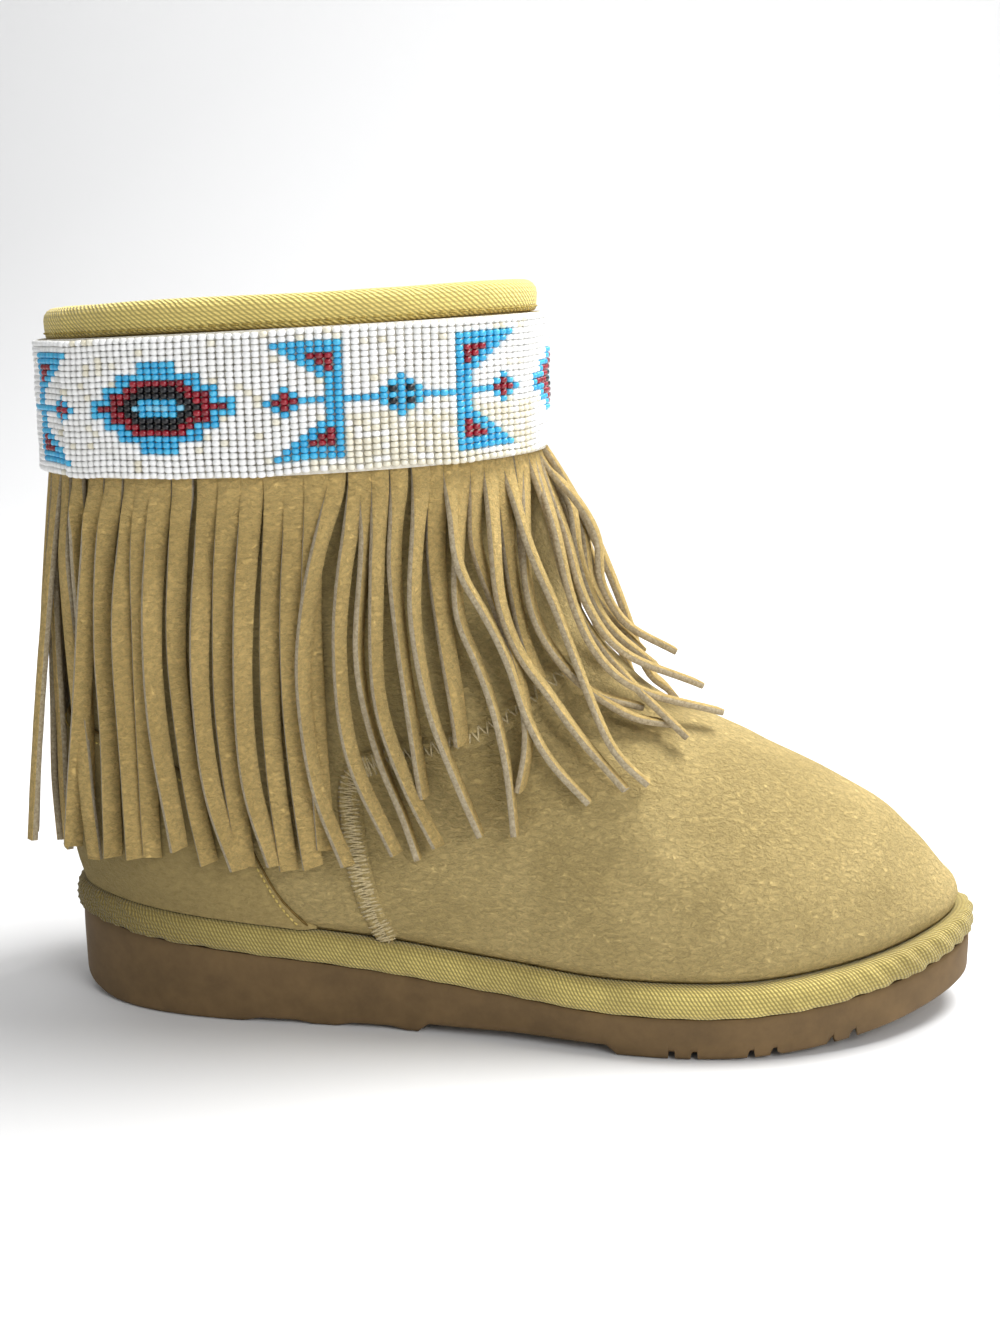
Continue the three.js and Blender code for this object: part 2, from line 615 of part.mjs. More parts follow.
// One strand: it leaves the strip straight down and leans as the table says, resting on the boot
// where the boot is in its way.
function strand(turn, width, samples) {
  const top = levelBelowCollar(BAND_BOTTOM - HEADER_MARGIN - STRAND_ROOT);
  const at = turn > Math.PI ? 2 - turn / Math.PI : turn / Math.PI;
  const start = facetPoint(turn, top, GAP + SUEDE_STRIP / 2);
  const away = lastNormal(turn, top).setZ(0).normalize();
  const across = new THREE.Vector3(-away.y, away.x, 0);
  const steps = at < REAR_FALL ? REAR_STRAND_STEPS : STRAND_STEPS;
  const step = (STRAND_LENGTH + HEADER_MARGIN + STRAND_ROOT) / steps;
  const stations = [{ point: start, normal: away.clone() }];
  for (let k = 1; k <= steps; k += 1) {
    const t = k / steps;
    const late = smooth((t - LEAN_FROM) / (LEAN_TO - LEAN_FROM));
    const lean = lerp(fall.early(at), fall.late(at), late);
    const push = fall.out(at) * (1 - 2 * t);
    const before = stations[k - 1].point;
    const heading = new THREE.Vector3(lean + push * away.x, push * away.y, -1).normalize();
    const point = before.clone().addScaledVector(heading, step);
    const turned = (Math.sin(twistAngle(at, t)) * width) / 2;
    const clear = STRAND_CLEAR * clamp01(k / 2 + ROOT_CLEAR) + turned;
    let normal = liftOff(point, samples, clear);
    for (let again = 0; again < SETTLE_ROUNDS; again += 1) {
      point.sub(before).setLength(step).add(before);
      normal = liftOff(point, samples, clear);
    }
    stations.push({ point, normal });
  }
  const rings = stations.map(({ point, normal }, k) => {
    const t = k / steps;
    const ahead = stations[Math.min(k + 1, steps)].point;
    const along = ahead.clone().sub(stations[Math.max(k - 1, 0)].point).normalize();
    const face = lerpVector(away, normal, smooth(t * 2));
    const side = face.cross(along).normalize();
    if (side.dot(across) < 0) side.negate();
    side.applyAxisAngle(along, twistAngle(at, t));
    const thick = along.clone().cross(side).normalize();
    const half = (width * lerp(1, STRAND_TAPER, t)) / 2;
    const deep = (SUEDE_STRIP * (k > 0 ? 1 : ROOT_THICKNESS)) / 2;
    return [
      [-1, -1],
      [1, -1],
      [1, 1],
      [-1, 1],
    ].map(([u, v]) =>
      point
        .clone()
        .addScaledVector(side, u * half)
        .addScaledVector(thick, v * deep),
    );
  });
  return rod(rings);
}

const lerpVector = (a, b, t) => a.clone().lerp(b, t).normalize();

// A four-sided rod through its corner rings, whichever way they run.
function rod(rings) {
  const corners = rings[0].length;
  const walls = rings.slice(1).flatMap((_, k) => wallFaces(k * corners, (k + 1) * corners, corners));
  const end = (rings.length - 1) * corners;
  const caps = [
    [0, 2, 1],
    [0, 3, 2],
    [end, end + 1, end + 2],
    [end, end + 2, end + 3],
  ];
  const faces = [...walls, ...caps];
  const made = solid(rings.flat(), faces);
  return made.volume() > 0 ? made : solid(rings.flat(), faces.map(([a, b, c]) => [a, c, b]));
}

function fringe() {
  const samples = surfaceSamples();
  const header = cuff(BAND_DROP, BAND_BOTTOM - HEADER_MARGIN, GAP, GAP + SUEDE_STRIP);
  const { found, pitch } = evenTurns(STRAND_COUNT, levelBelowCollar(BAND_BOTTOM));
  const strands = found.map((turn) => strand(turn, pitch - STRAND_SLIT, samples));
  return strands.reduce((whole, next) => whole.add(next), header).simplify(FLATNESS);
}

const PIECES = [
  { name: "outsole", make: outsole, colour: "#84684a", roughness: 0.75 },
  { name: "platform_wrap", make: platformWrap, colour: "#c9bb66", roughness: 0.9 },
  { name: "insole", make: insole, colour: "#d8c79a", roughness: 0.95 },
  { name: "upper", make: upper, colour: "#bea566", roughness: 0.95 },
  { name: "heel_counter", make: heelCounter, colour: "#b49b5c", roughness: 0.95 },
  { name: "vamp_seam", make: vampSeam, colour: "#cdb888", roughness: 0.95 },
  { name: "collar_binding", make: collarBinding, colour: "#cfc068", roughness: 0.9 },
  { name: "fringe", make: fringe, colour: "#b29a5e", roughness: 0.95 },
  { name: "beaded_band", make: beadedBand, colour: "#eceadf", roughness: 0.35 },
];

const boot = new THREE.Group();
boot.name = "boot";
for (const { name, make, colour, roughness } of PIECES) {
  const material = new THREE.MeshStandardMaterial({ color: colour, roughness, metalness: 0 });
  const mesh = new THREE.Mesh(toGeometry(make()), material);
  mesh.name = name;
  boot.add(mesh);
}

// The origin goes under the middle of the boot's own box.
const middle = new THREE.Box3().setFromObject(boot, true).getCenter(new THREE.Vector3());
boot.position.set(-middle.x, -middle.y, 0);

export default boot;
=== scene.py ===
"""Short pull-on suede boot with a beaded band and a long fringe, dressed on its solid model.

Lengths are in millimetres in the functions below and in metres in Blender. +X runs to the toe,
+Y to the inner side of the foot and +Z up.
"""
import math
import random

import bpy
import numpy as np
from bpy.props import FloatProperty, FloatVectorProperty, IntProperty, PointerProperty
from mathutils import Matrix, Vector, kdtree


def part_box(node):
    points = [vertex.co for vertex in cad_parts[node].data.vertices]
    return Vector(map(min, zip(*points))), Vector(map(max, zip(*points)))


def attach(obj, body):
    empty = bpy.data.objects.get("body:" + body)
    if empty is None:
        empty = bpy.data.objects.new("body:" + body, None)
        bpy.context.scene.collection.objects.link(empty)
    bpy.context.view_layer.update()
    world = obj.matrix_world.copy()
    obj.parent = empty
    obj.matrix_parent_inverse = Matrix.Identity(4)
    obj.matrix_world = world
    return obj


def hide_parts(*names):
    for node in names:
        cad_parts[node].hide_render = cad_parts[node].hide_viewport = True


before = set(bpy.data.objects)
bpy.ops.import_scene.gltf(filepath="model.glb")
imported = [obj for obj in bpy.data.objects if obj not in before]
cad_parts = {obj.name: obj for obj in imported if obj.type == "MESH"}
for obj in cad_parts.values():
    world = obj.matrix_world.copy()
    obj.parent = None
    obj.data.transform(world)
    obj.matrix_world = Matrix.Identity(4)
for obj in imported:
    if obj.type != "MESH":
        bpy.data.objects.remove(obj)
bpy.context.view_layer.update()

bl_info = {
    "name": "Fringed suede boot",
    "version": (1, 0, 0),
    "blender": (4, 5, 0),
    "location": "3D View > Sidebar > Boot",
    "description": "Makes the suede, tape, fringe and beadwork of a short pull-on boot",
    "category": "Add Mesh",
}

MM = 0.001
TURN = 2 * math.pi
TINY = 1e-9

# The steps, in turns or levels, that directions are taken over, and the halvings of a search.
STEP = 0.01
SURFACE_STEP = 0.004
HALVINGS = 30

# Sizes of the last and the sole.
SOLE_LENGTH = 260
BALL_WIDTH = 94
HEEL_HEIGHT = 24.8
HEEL_BREAST_HEIGHT = 17.4
FOREFOOT_HEIGHT = 11.4
TOE_SPRING = 9.6
HEEL_BEVEL = 5
SOLE_EDGE = 1.6
WAIST_RISE = 2.4
WAIST = (108, 164)
WAIST_SLOPE = 3
SCALLOP_DEPTH = 0.9
GROOVE_WIDTH = 1.6
GROOVE_DEPTH = 2
LUG_PITCH = 21
RIB_WIDTH = 6
WRAP_HEIGHT = 8.6
WALL = 3
INSTEP_HEIGHT = 86
SHAFT_HEIGHT = 171.5
SHAFT_LENGTH = 135
SHAFT_WIDTH = 98.5
SHAFT_SETBACK = 1
COLLAR_RISE = 6
INSOLE_THICKNESS = 5
GAP = 0.3
SUEDE_BACK = 1.6
SPRING_FROM = 0.7
BEVEL_TO = 0.075
INSTEP_LEVEL = 0.5
FOOT_ENDS = 0.33
SHAFT_STARTS = 0.83
REAR_ENDS = 0.25
FORE_STARTS = 0.7

# Sizes of the trim.
COUNTER_HEIGHT = 50
COUNTER_REACH = 78
COUNTER_THICKNESS = 1.1
SEAM_WIDTH = 7
SEAM_THICKNESS = 1.5
BINDING_THICKNESS = 0.9
BINDING_DEPTH = 6.9
BAND_HEIGHT = 36
BAND_DROP = 7.4
BAND_INNER = 2.7
SUEDE_STRIP = 1.5
STRAND_COUNT = 76
STRAND_SLIT = 0.45

HEEL_BACK = -SOLE_LENGTH / 2
SHAFT_BACK = HEEL_BACK + SHAFT_SETBACK
SHAFT_MIDDLE = SHAFT_BACK + SHAFT_LENGTH / 2
THROAT = SHAFT_BACK + SHAFT_LENGTH
BAND_BOTTOM = BAND_DROP + BAND_HEIGHT

# Where the solids' frame lies in this one.
SOLE_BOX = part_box("outsole")
BAND_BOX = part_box("beaded_band")
SHIFT = np.array([
    SOLE_BOX[0][0] / MM - HEEL_BACK,
    (BAND_BOX[0][1] + BAND_BOX[1][1]) / 2 / MM,
    0.0,
])

# Sections of the sole's outline: share of the length, middle line, fullness.
OUTLINE = {
    "at": [0, 0.05, 0.1, 0.2, 0.3, 0.4, 0.5, 0.6, 0.7, 0.8, 0.9, 1],
    "centre": [0, 0, 0, 0, -0.005, -0.018, -0.031, -0.034, -0.011, 0.014, 0.047, 0.073],
    "fullness": [0.706, 0.6, 0.561, 0.487, 0.425, 0.396, 0.405, 0.463, 0.543, 0.596, 0.615, 0.561],
}
WEDGE = {"at": [0, 0.35, 0.64, 1], "sink": [0, 1, 2, 2]}

# Sections of the last by height, half way up at the instep and 1 at the collar.
SECTIONS = {
    "at": [0, 0.04, 0.066, 0.12, 0.17, 0.216, 0.29, 0.35, 0.38, 0.43, 0.495, 0.577, 0.68, 0.78, 1],
    "back": [-0.01, -0.002, 0.001, 0.004, 0.005, 0.004, 0.001, -0.001, -0.002, -0.003, -0.004,
             -0.003, -0.001, 0, 0],
    "front": [0.978, 0.966, 0.941, 0.888, 0.827, 0.75, 0.602, 0.421, 0.309, 0.213, 0.122, 0.057,
              0.019, 0.002, 0],
    "heel": [0.93, 0.965, 0.98, 0.99, 0.99, 0.98, 0.97, 0.96, 0.96, 0.96, 0.96, 0.96, 0.96, 0.96,
             0.96],
    "fore": [0.945, 0.965, 0.965, 0.945, 0.91, 0.87, 0.81, 0.78, 0.77, 0.77, 0.77, 0.77, 0.77, 0.77,
             0.77],
    "oval": [0, 0, 0, 0, 0, 0.02, 0.07, 0.14, 0.2, 0.34, 0.54, 0.76, 0.93, 1, 1],
    "girth": [0.47, 0.47, 0.47, 0.47, 0.47, 0.47, 0.47, 0.47, 0.47, 0.472, 0.475, 0.48, 0.487,
              0.494, 0.5],
}
COUNTER_EDGE = {
    "at": [0, 0.5, 0.74, 0.85, 0.885, 0.93, 1],
    "up": [1, 0.92, 0.78, 0.58, 0.37, 0.15, 0],
}

# The raised seam on one side: share of the sole's length, share of the instep's height.
SEAM_ROUTE = [(0.39, -0.03), (0.364, 0.14), (0.352, 0.3), (0.347, 0.47), (0.354, 0.555),
              (0.378, 0.6), (0.43, 0.664), (0.482, 0.732), (0.53, 0.824), (0.575, 0.93)]

# How the fringe falls, from the middle of the back to the middle of the front.
FALL = {
    "at": [0, 0.18, 0.34, 0.48, 0.6, 0.74, 0.88, 1],
    "early": [0, -0.06, 0, -0.14, -0.2, -0.06, 0.05, 0.08],
    "late": [-0.06, -0.05, 0.1, 0.16, 0.26, 0.3, 0.36, 0.5],
    "out": [0.03, 0.02, 0.02, 0.03, 0.05, 0.15, 0.4, 0.6],
    "twist": [0.2, 0, 0, 0.1, 0.35, 0.7, 0.8, 0.8],
}

# The camera, in the frame of the solids, and the picture that its pixels count in.
PICTURE = (1000, 1333)
FOCAL_PIXELS = 1813.0
SENSOR = 36.0
CAMERA_PLACE = (74.7, -499.2, 205.1)
CAMERA_TURN = 8.91
CAMERA_PITCH = 12.18
CAMERA_ROLL = -0.78


def clamp01(value):
    return np.clip(value, 0.0, 1.0)


NOISE_TABLE = np.random.RandomState(7).uniform(-1, 1, 256)
NOISE_ORDER = np.random.RandomState(8).permutation(256)


def smooth(value):
    value = clamp01(value)
    return value * value * (3 - 2 * value)


def lerp(a, b, t):
    return a + (b - a) * t


def hump(value, middle, width):
    return np.exp(-((value - middle) / width) ** 2)


def closed_turns(count):
    return np.linspace(0, TURN, count + 1)[:-1]


def curve(table, key):
    """A smooth curve through one column of a table, with no overshoot between its rows."""
    x = np.array(table["at"], float)
    y = np.array(table[key], float)
    slope = np.diff(y) / np.diff(x)
    tangent = np.zeros_like(y)
    tangent[0] = slope[0]
    tangent[-1] = slope[-1]
    for i in range(1, len(y) - 1):
        if slope[i - 1] * slope[i] > 0:
            tangent[i] = 2 * slope[i - 1] * slope[i] / (slope[i - 1] + slope[i])

    def value(t):
        t = np.asarray(t, float)
        i = np.clip(np.searchsorted(x, t, side="right") - 1, 0, len(x) - 2)
        span = x[i + 1] - x[i]
        s = clamp01((t - x[i]) / span)
        bend = span * s * (1 - s) * ((1 - s) * tangent[i] - s * tangent[i + 1])
        return lerp(y[i], y[i + 1], s * s * (3 - 2 * s)) + bend

    return value


sole_centre = curve(OUTLINE, "centre")
sole_fullness = curve(OUTLINE, "fullness")
sink = curve(WEDGE, "sink")
column = {key: curve(SECTIONS, key) for key in SECTIONS if key != "at"}
fall = {key: curve(FALL, key) for key in FALL if key != "at"}
counter_up = curve(COUNTER_EDGE, "up")


def share(x):
    return (x - HEEL_BACK) / SOLE_LENGTH


def spring(x):
    return TOE_SPRING * clamp01((share(x) - SPRING_FROM) / (1 - SPRING_FROM)) ** 2


def tread(x):
    return spring(x) + HEEL_BEVEL * clamp01(1 - share(x) / BEVEL_TO) ** 2


def bed(x):
    s = sink(share(x))
    heel = lerp(HEEL_HEIGHT, HEEL_BREAST_HEIGHT, clamp01(s))
    return lerp(heel, FOREFOOT_HEIGHT, clamp01(s - 1)) + spring(x)


def platform(x):
    return bed(x) + WRAP_HEIGHT


def along_turn(turn):
    return (1 - np.cos(turn)) / 2


def sole_edge(turn):
    at = along_turn(turn)
    y = sole_centre(at) - np.sin(turn) * sole_fullness(at)
    return np.stack([HEEL_BACK + at * SOLE_LENGTH, y * BALL_WIDTH], -1)


def sole_ring(turns, grow, height_at):
    """The sole's outline moved outwards by grow, at a height given by the place along it."""
    ahead = sole_edge(turns + STEP) - sole_edge(turns - STEP)
    ahead /= np.linalg.norm(ahead, axis=-1, keepdims=True)
    edge = sole_edge(turns)
    x = edge[:, 0] + grow * ahead[:, 1]
    y = edge[:, 1] - grow * ahead[:, 0]
    return np.stack([x, y, height_at(x) + np.zeros_like(x)], -1)


def tall(level):
    level = np.asarray(level, float)
    low = 2 * INSTEP_HEIGHT * level
    high = INSTEP_HEIGHT + (SHAFT_HEIGHT - INSTEP_HEIGHT) * (2 * level - 1)
    return np.where(level < INSTEP_LEVEL, low, high)


def below_collar(drop):
    return 1 - drop / (2 * (SHAFT_HEIGHT - INSTEP_HEIGHT))


def height(x, level):
    tilt = COLLAR_RISE * (x - SHAFT_MIDDLE) / SHAFT_LENGTH
    collar = platform(SHAFT_MIDDLE) + tilt
    along_shaft = smooth((level - FOOT_ENDS) / (SHAFT_STARTS - FOOT_ENDS))
    return lerp(platform(x), collar, along_shaft) + tall(level)


def ends(level):
    back = lerp(HEEL_BACK, SHAFT_BACK, clamp01(level)) - column["back"](level) * SOLE_LENGTH
    front = THROAT + column["front"](level) * (SOLE_LENGTH / 2 - THROAT)
    return back, front


def last_point(turn, level):
    """The outside of the upper: turn runs from the heel along the outer side, level from the sole."""
    at = along_turn(turn)
    back, front = ends(level)
    x = lerp(back, front, at)
    to_fore = smooth((at - REAR_ENDS) / (FORE_STARTS - REAR_ENDS))
    scale = lerp(column["heel"](level), column["fore"](level), to_fore)
    foot = sole_fullness(at) * BALL_WIDTH * scale
    half = lerp(foot, column["girth"](level) * SHAFT_WIDTH, column["oval"](level))
    centre = sole_centre(at) * BALL_WIDTH * (1 - column["oval"](level))
    return np.stack([x, centre - np.sin(turn) * half, height(x, level)], -1)


def last_normal(turn, level):
    low = np.clip(level - SURFACE_STEP, 0, 1 - 2 * SURFACE_STEP)
    high = np.clip(level + SURFACE_STEP, 2 * SURFACE_STEP, 1)
    around = last_point(turn + SURFACE_STEP, level) - last_point(turn - SURFACE_STEP, level)
    upwards = last_point(turn, high) - last_point(turn, low)
    normal = np.cross(around, upwards)
    return normal / np.linalg.norm(normal, axis=-1, keepdims=True)


def form(turn, level, out):
    """A point off the outside of the upper by out."""
    turn, level = np.broadcast_arrays(np.asarray(turn, float), np.asarray(level, float))
    out = np.asarray(out, float)
    point = last_point(turn, level) + last_normal(turn, level) * out[..., None]
    point[..., 2] = np.where(level <= 0, platform(point[..., 0]) + GAP, point[..., 2])
    return point


def locate(x, z, side):
    """The turn and level of a place in side view; side is -1 for the outer side, 1 for the inner."""
    low, high = np.zeros_like(x), np.ones_like(x)
    for _ in range(HALVINGS):
        middle = (low + high) / 2
        above = height(x, middle) > z
        high = np.where(above, middle, high)
        low = np.where(above, low, middle)
    back, front = ends(low)
    at = clamp01((x - back) / (front - back))
    turn = np.arccos(1 - 2 * at)
    return np.where(side < 0, turn, TURN - turn), low


def camera_axes():
    turn, pitch, roll = (math.radians(a) for a in (CAMERA_TURN, CAMERA_PITCH, CAMERA_ROLL))
    flat = np.array([-math.sin(turn), math.cos(turn), 0])
    ahead = flat * math.cos(pitch) - np.array([0, 0, math.sin(pitch)])
    right = np.array([math.cos(turn), math.sin(turn), 0])
    up = np.cross(right, ahead)
    tilted = right * math.cos(roll) + up * math.sin(roll)
    return tilted, up * math.cos(roll) - right * math.sin(roll), ahead


CAMERA_RIGHT, CAMERA_UP, CAMERA_AHEAD = camera_axes()


def to_picture(points):
    away = np.asarray(points) - np.array(CAMERA_PLACE)
    depth = away @ CAMERA_AHEAD
    u = PICTURE[0] / 2 + FOCAL_PIXELS * (away @ CAMERA_RIGHT) / depth
    v = PICTURE[1] / 2 - FOCAL_PIXELS * (away @ CAMERA_UP) / depth
    return np.stack([u, v], -1), depth


def sight_line(u, v):
    side = (u - PICTURE[0] / 2) / FOCAL_PIXELS
    rise = (v - PICTURE[1] / 2) / FOCAL_PIXELS
    return CAMERA_AHEAD + side * CAMERA_RIGHT - rise * CAMERA_UP


# Meshes.

def tube_faces(rings, count, closed):
    """Quads between rings of count points, and where each corner lies round and along."""
    k = np.arange(rings if closed else rings - 1)[:, None]
    i = np.arange(count)[None, :]
    low, high = k * count, ((k + 1) % rings) * count
    j = (i + 1) % count
    quads = np.stack([low + i, low + j, high + j, high + i], -1).reshape(-1, 4)
    round_at = np.stack(np.broadcast_arrays(i, i + 1, i + 1, i), -1) + 0 * k[..., None]
    along_at = np.stack(np.broadcast_arrays(k, k, k + 1, k + 1), -1) + 0 * i[..., None]
    return quads, round_at.reshape(-1), along_at.reshape(-1)


def across_faces(start, count):
    """Quads from one side of a ring to the other, all but the faces at its two ends."""
    return [[start + i, start + i + 1, start + count - i - 1, start + count - i]
            for i in range(1, count // 2 - 1)]


def sheet_faces(rows, columns):
    k, i = np.meshgrid(np.arange(rows - 1), np.arange(columns - 1), indexing="ij")
    a = k * columns + i
    return np.stack([a, a + 1, a + 1 + columns, a + columns], -1).reshape(-1, 4)


def shape(name, points, faces, materials, slots=None, uv=None):
    """A smooth-shaded mesh object from points in millimetres."""
    mesh = bpy.data.meshes.new(name)
    placed = (np.asarray(points).reshape(-1, 3) + SHIFT) * MM
    faces = faces.tolist() if isinstance(faces, np.ndarray) else faces
    mesh.from_pydata(placed.tolist(), [], faces)
    for material in materials:
        mesh.materials.append(material)
    mesh.shade_smooth()
    if slots is not None:
        mesh.polygons.foreach_set("material_index", np.asarray(slots, np.int32))
    if uv is not None:
        layer = mesh.uv_layers.new(name="tape")
        layer.data.foreach_set("uv", (np.asarray(uv) * MM).reshape(-1).astype(np.float32))
    mesh.update()
    made = bpy.data.objects.new(name, mesh)
    bpy.context.scene.collection.objects.link(made)
    return made


def walk(path):
    """The length walked along a path at each of its points."""
    steps = np.linalg.norm(np.diff(path, axis=0), axis=1)
    return np.concatenate([[0], np.cumsum(steps)])


def places_along(path, walked, wanted):
    return np.stack([np.interp(wanted, walked, path[:, k]) for k in range(path.shape[1])], -1)


def ring_lengths(ring):
    return walk(np.concatenate([ring, ring[:1]]))


def tape_uv(rings, quads_round, quads_along):
    """Lengths round the ring and across its closed section, for each corner of its faces."""
    rings = np.asarray(rings)
    around = ring_lengths(rings[len(rings) // 3])
    across = ring_lengths(rings[:, rings.shape[1] // 4])
    return np.stack([around[quads_round], across[quads_along]], -1)


def even_turns(count, level, offset=0.5):
    """Equal steps round the shaft as turns, and how long a step is."""
    fine = np.linspace(0, TURN, 1441)
    walked = ring_lengths(last_point(fine[:-1], level))
    wanted = (np.arange(count) + offset) * walked[-1] / count
    return np.interp(wanted, walked, fine), walked[-1] / count


def rods(paths, radius, sides=5):
    """Round threads along paths, as one list of points and faces."""
    points, faces = [], []
    start = 0
    angle = (np.arange(sides) * TURN / sides)[None, :, None]
    for path in paths:
        path = np.asarray(path, float)
        along = np.gradient(path, axis=0)
        along /= np.linalg.norm(along, axis=1, keepdims=True) + TINY
        helper = np.where(np.abs(along[:, 2:3]) < 0.8, [[0, 0, 1.0]], [[1.0, 0, 0]])
        side = np.cross(along, helper)
        side /= np.linalg.norm(side, axis=1, keepdims=True)
        other = np.cross(along, side)
        size = radius * np.ones((len(path), 1, 1))
        size[[0, -1]] *= 0.5
        round_path = np.cos(angle) * side[:, None] + np.sin(angle) * other[:, None]
        points.append((path[:, None] + size * round_path).reshape(-1, 3))
        quads, _, _ = tube_faces(len(path), sides, False)
        faces += (quads[:, ::-1] + start).tolist()
        faces.append(list(range(start, start + sides)))
        start += len(path) * sides
        faces.append(list(range(start - 1, start - sides - 1, -1)))
    return np.concatenate(points), faces


def finish_piece(piece, slot, *nodes):
    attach(piece, "root")
    if nodes:
        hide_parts(*nodes)
    return piece


# Materials.

def feed(tree, node, links):
    """The node, with each named input linked to a socket or set to a value."""
    for key, value in links.items():
        if isinstance(value, bpy.types.NodeSocket):
            tree.links.new(value, node.inputs[key])
        else:
            node.inputs[key].default_value = value
    return node


def add(tree, kind, links, **settings):
    made = tree.nodes.new(kind)
    for key, value in settings.items():
        setattr(made, key, value)
    return feed(tree, made, links)


def math_node(tree, operation, *values, clamp=False):
    links = dict(enumerate(values))
    return add(tree, "ShaderNodeMath", links, operation=operation, use_clamp=clamp).outputs[0]


def mix_colour(tree, factor, a, b):
    return add(tree, "ShaderNodeMix", {0: factor, 6: a, 7: b}, data_type="RGBA").outputs[2]


def noise(tree, place, scale, detail=2.0, roughness=0.5, distortion=0.0):
    return add(tree, "ShaderNodeTexNoise", {
        "Vector": place, "Scale": scale, "Detail": detail, "Roughness": roughness,
        "Distortion": distortion}).outputs["Fac"]


def remap(tree, value, low, high, kind="LINEAR"):
    """The value as 0 at low and 1 at high."""
    return add(tree, "ShaderNodeMapRange", {"Value": value, "From Min": low, "From Max": high},
               interpolation_type=kind).outputs[0]


def effect(name, inputs, outputs):
    """A node group with named sockets: its tree and its input's sockets."""
    tree = bpy.data.node_groups.new(name, "ShaderNodeTree")
    for label, kind, value in inputs:
        socket = tree.interface.new_socket(label, in_out="INPUT", socket_type=kind)
        socket.default_value = value
    for label, kind in outputs:
        tree.interface.new_socket(label, in_out="OUTPUT", socket_type=kind)
    return tree, tree.nodes.new("NodeGroupInput").outputs


COLOUR, FLOAT = "NodeSocketColor", "NodeSocketFloat"


def nap_effect():
    """Brushed suede: soft patches, short strokes of nap and fine grain."""
    tree, given = effect(
        "Suede nap",
        [("Body", COLOUR, (0.5, 0.4, 0.2, 1)), ("Shade", COLOUR, (0.3, 0.2, 0.1, 1)),
         ("Light", COLOUR, (0.7, 0.6, 0.4, 1)), ("Patches", FLOAT, 0.5), ("Strokes", FLOAT, 0.5)],
        [("Colour", COLOUR), ("Height", FLOAT)],
    )
    place = add(tree, "ShaderNodeTexCoord", {}).outputs["Object"]
    patch = remap(tree, noise(tree, place, 34.0, 4.0, distortion=0.5), 0.36, 0.66)
    lie = add(tree, "ShaderNodeMapping", {"Vector": place, "Rotation": (0.2, 0.75, 0.3),
                                          "Scale": (1.0, 1.35, 1.75)}).outputs[0]
    stroke = remap(tree, noise(tree, lie, 480.0, 6.0, 0.68, 0.5), 0.38, 0.64)
    grain = noise(tree, lie, 1500.0, 3.0, 0.7)
    patches = math_node(tree, "MULTIPLY", patch, given["Patches"])
    body = mix_colour(tree, patches, given["Body"], given["Light"])
    between = math_node(tree, "SUBTRACT", 1.0, stroke)
    darken = math_node(tree, "MULTIPLY", between, given["Strokes"])
    stroked = mix_colour(tree, darken, body, given["Shade"])
    speck = math_node(tree, "SUBTRACT", grain, 0.48, clamp=True)
    speck = math_node(tree, "MULTIPLY", speck, 1.6)
    colour = mix_colour(tree, speck, stroked, given["Light"])
    height_part = math_node(tree, "MULTIPLY", stroke, 0.6)
    rise = math_node(tree, "ADD", height_part, math_node(tree, "MULTIPLY", grain, 0.4))
    add(tree, "NodeGroupOutput", {"Colour": colour, "Height": rise})


def twill_effect():
    """Twill tape: slanted ribs in rows along the tape, from the mesh's own lengths."""
    tree, given = effect(
        "Twill weave",
        [("Thread", COLOUR, (0.6, 0.5, 0.2, 1)), ("Valley", COLOUR, (0.3, 0.3, 0.1, 1)),
         ("Rib pitch", FLOAT, 0.0011), ("Row pitch", FLOAT, 0.00115), ("Slant", FLOAT, 0.6)],
        [("Colour", COLOUR), ("Height", FLOAT)],
    )
    place = add(tree, "ShaderNodeUVMap", {}, uv_map="tape").outputs[0]
    wobble = noise(tree, place, 160.0)
    parts = add(tree, "ShaderNodeSeparateXYZ", {0: place}).outputs
    ribs = math_node(tree, "DIVIDE", parts["X"], given["Rib pitch"])
    rows = math_node(tree, "DIVIDE", parts["Y"], given["Row pitch"])
    slant = math_node(tree, "MULTIPLY", rows, given["Slant"])
    phase = math_node(tree, "ADD", math_node(tree, "ADD", ribs, slant), wobble)
    rib = math_node(tree, "SINE", math_node(tree, "MULTIPLY", phase, TURN))
    rib = math_node(tree, "MULTIPLY_ADD", rib, 0.5, 0.5)
    row = math_node(tree, "SINE", math_node(tree, "MULTIPLY", rows, math.pi))
    row = math_node(tree, "ABSOLUTE", row)
    row = math_node(tree, "MULTIPLY_ADD", row, 0.75, 0.3)
    weave = math_node(tree, "MULTIPLY", rib, row)
    shade = remap(tree, weave, 0.0, 0.8)
    colour = mix_colour(tree, shade, given["Valley"], given["Thread"])
    add(tree, "NodeGroupOutput", {"Colour": colour, "Height": weave})


def low_patches_effect():
    """A soft uneven second colour in patches, stronger near the floor."""
    tree, given = effect(
        "Low patches",
        [("Colour", COLOUR, (0.5, 0.5, 0.5, 1)), ("Patch colour", COLOUR, (0.3, 0.3, 0.3, 1)),
         ("Amount", FLOAT, 0.3), ("Reach", FLOAT, 0.03)],
        [("Colour", COLOUR)],
    )
    place = add(tree, "ShaderNodeTexCoord", {}).outputs["Object"]
    cloud = remap(tree, noise(tree, place, 55.0, 5.0, 0.65), 0.42, 0.7)
    up = add(tree, "ShaderNodeSeparateXYZ", {0: place}).outputs["Z"]
    risen = math_node(tree, "DIVIDE", up, given["Reach"])
    low = math_node(tree, "SUBTRACT", 1.0, risen, clamp=True)
    amount = math_node(tree, "MULTIPLY", math_node(tree, "ADD", low, 0.35), cloud)
    amount = math_node(tree, "MULTIPLY", amount, given["Amount"], clamp=True)
    add(tree, "NodeGroupOutput", {"Colour": mix_colour(tree, amount, given["Colour"], given["Patch colour"])})


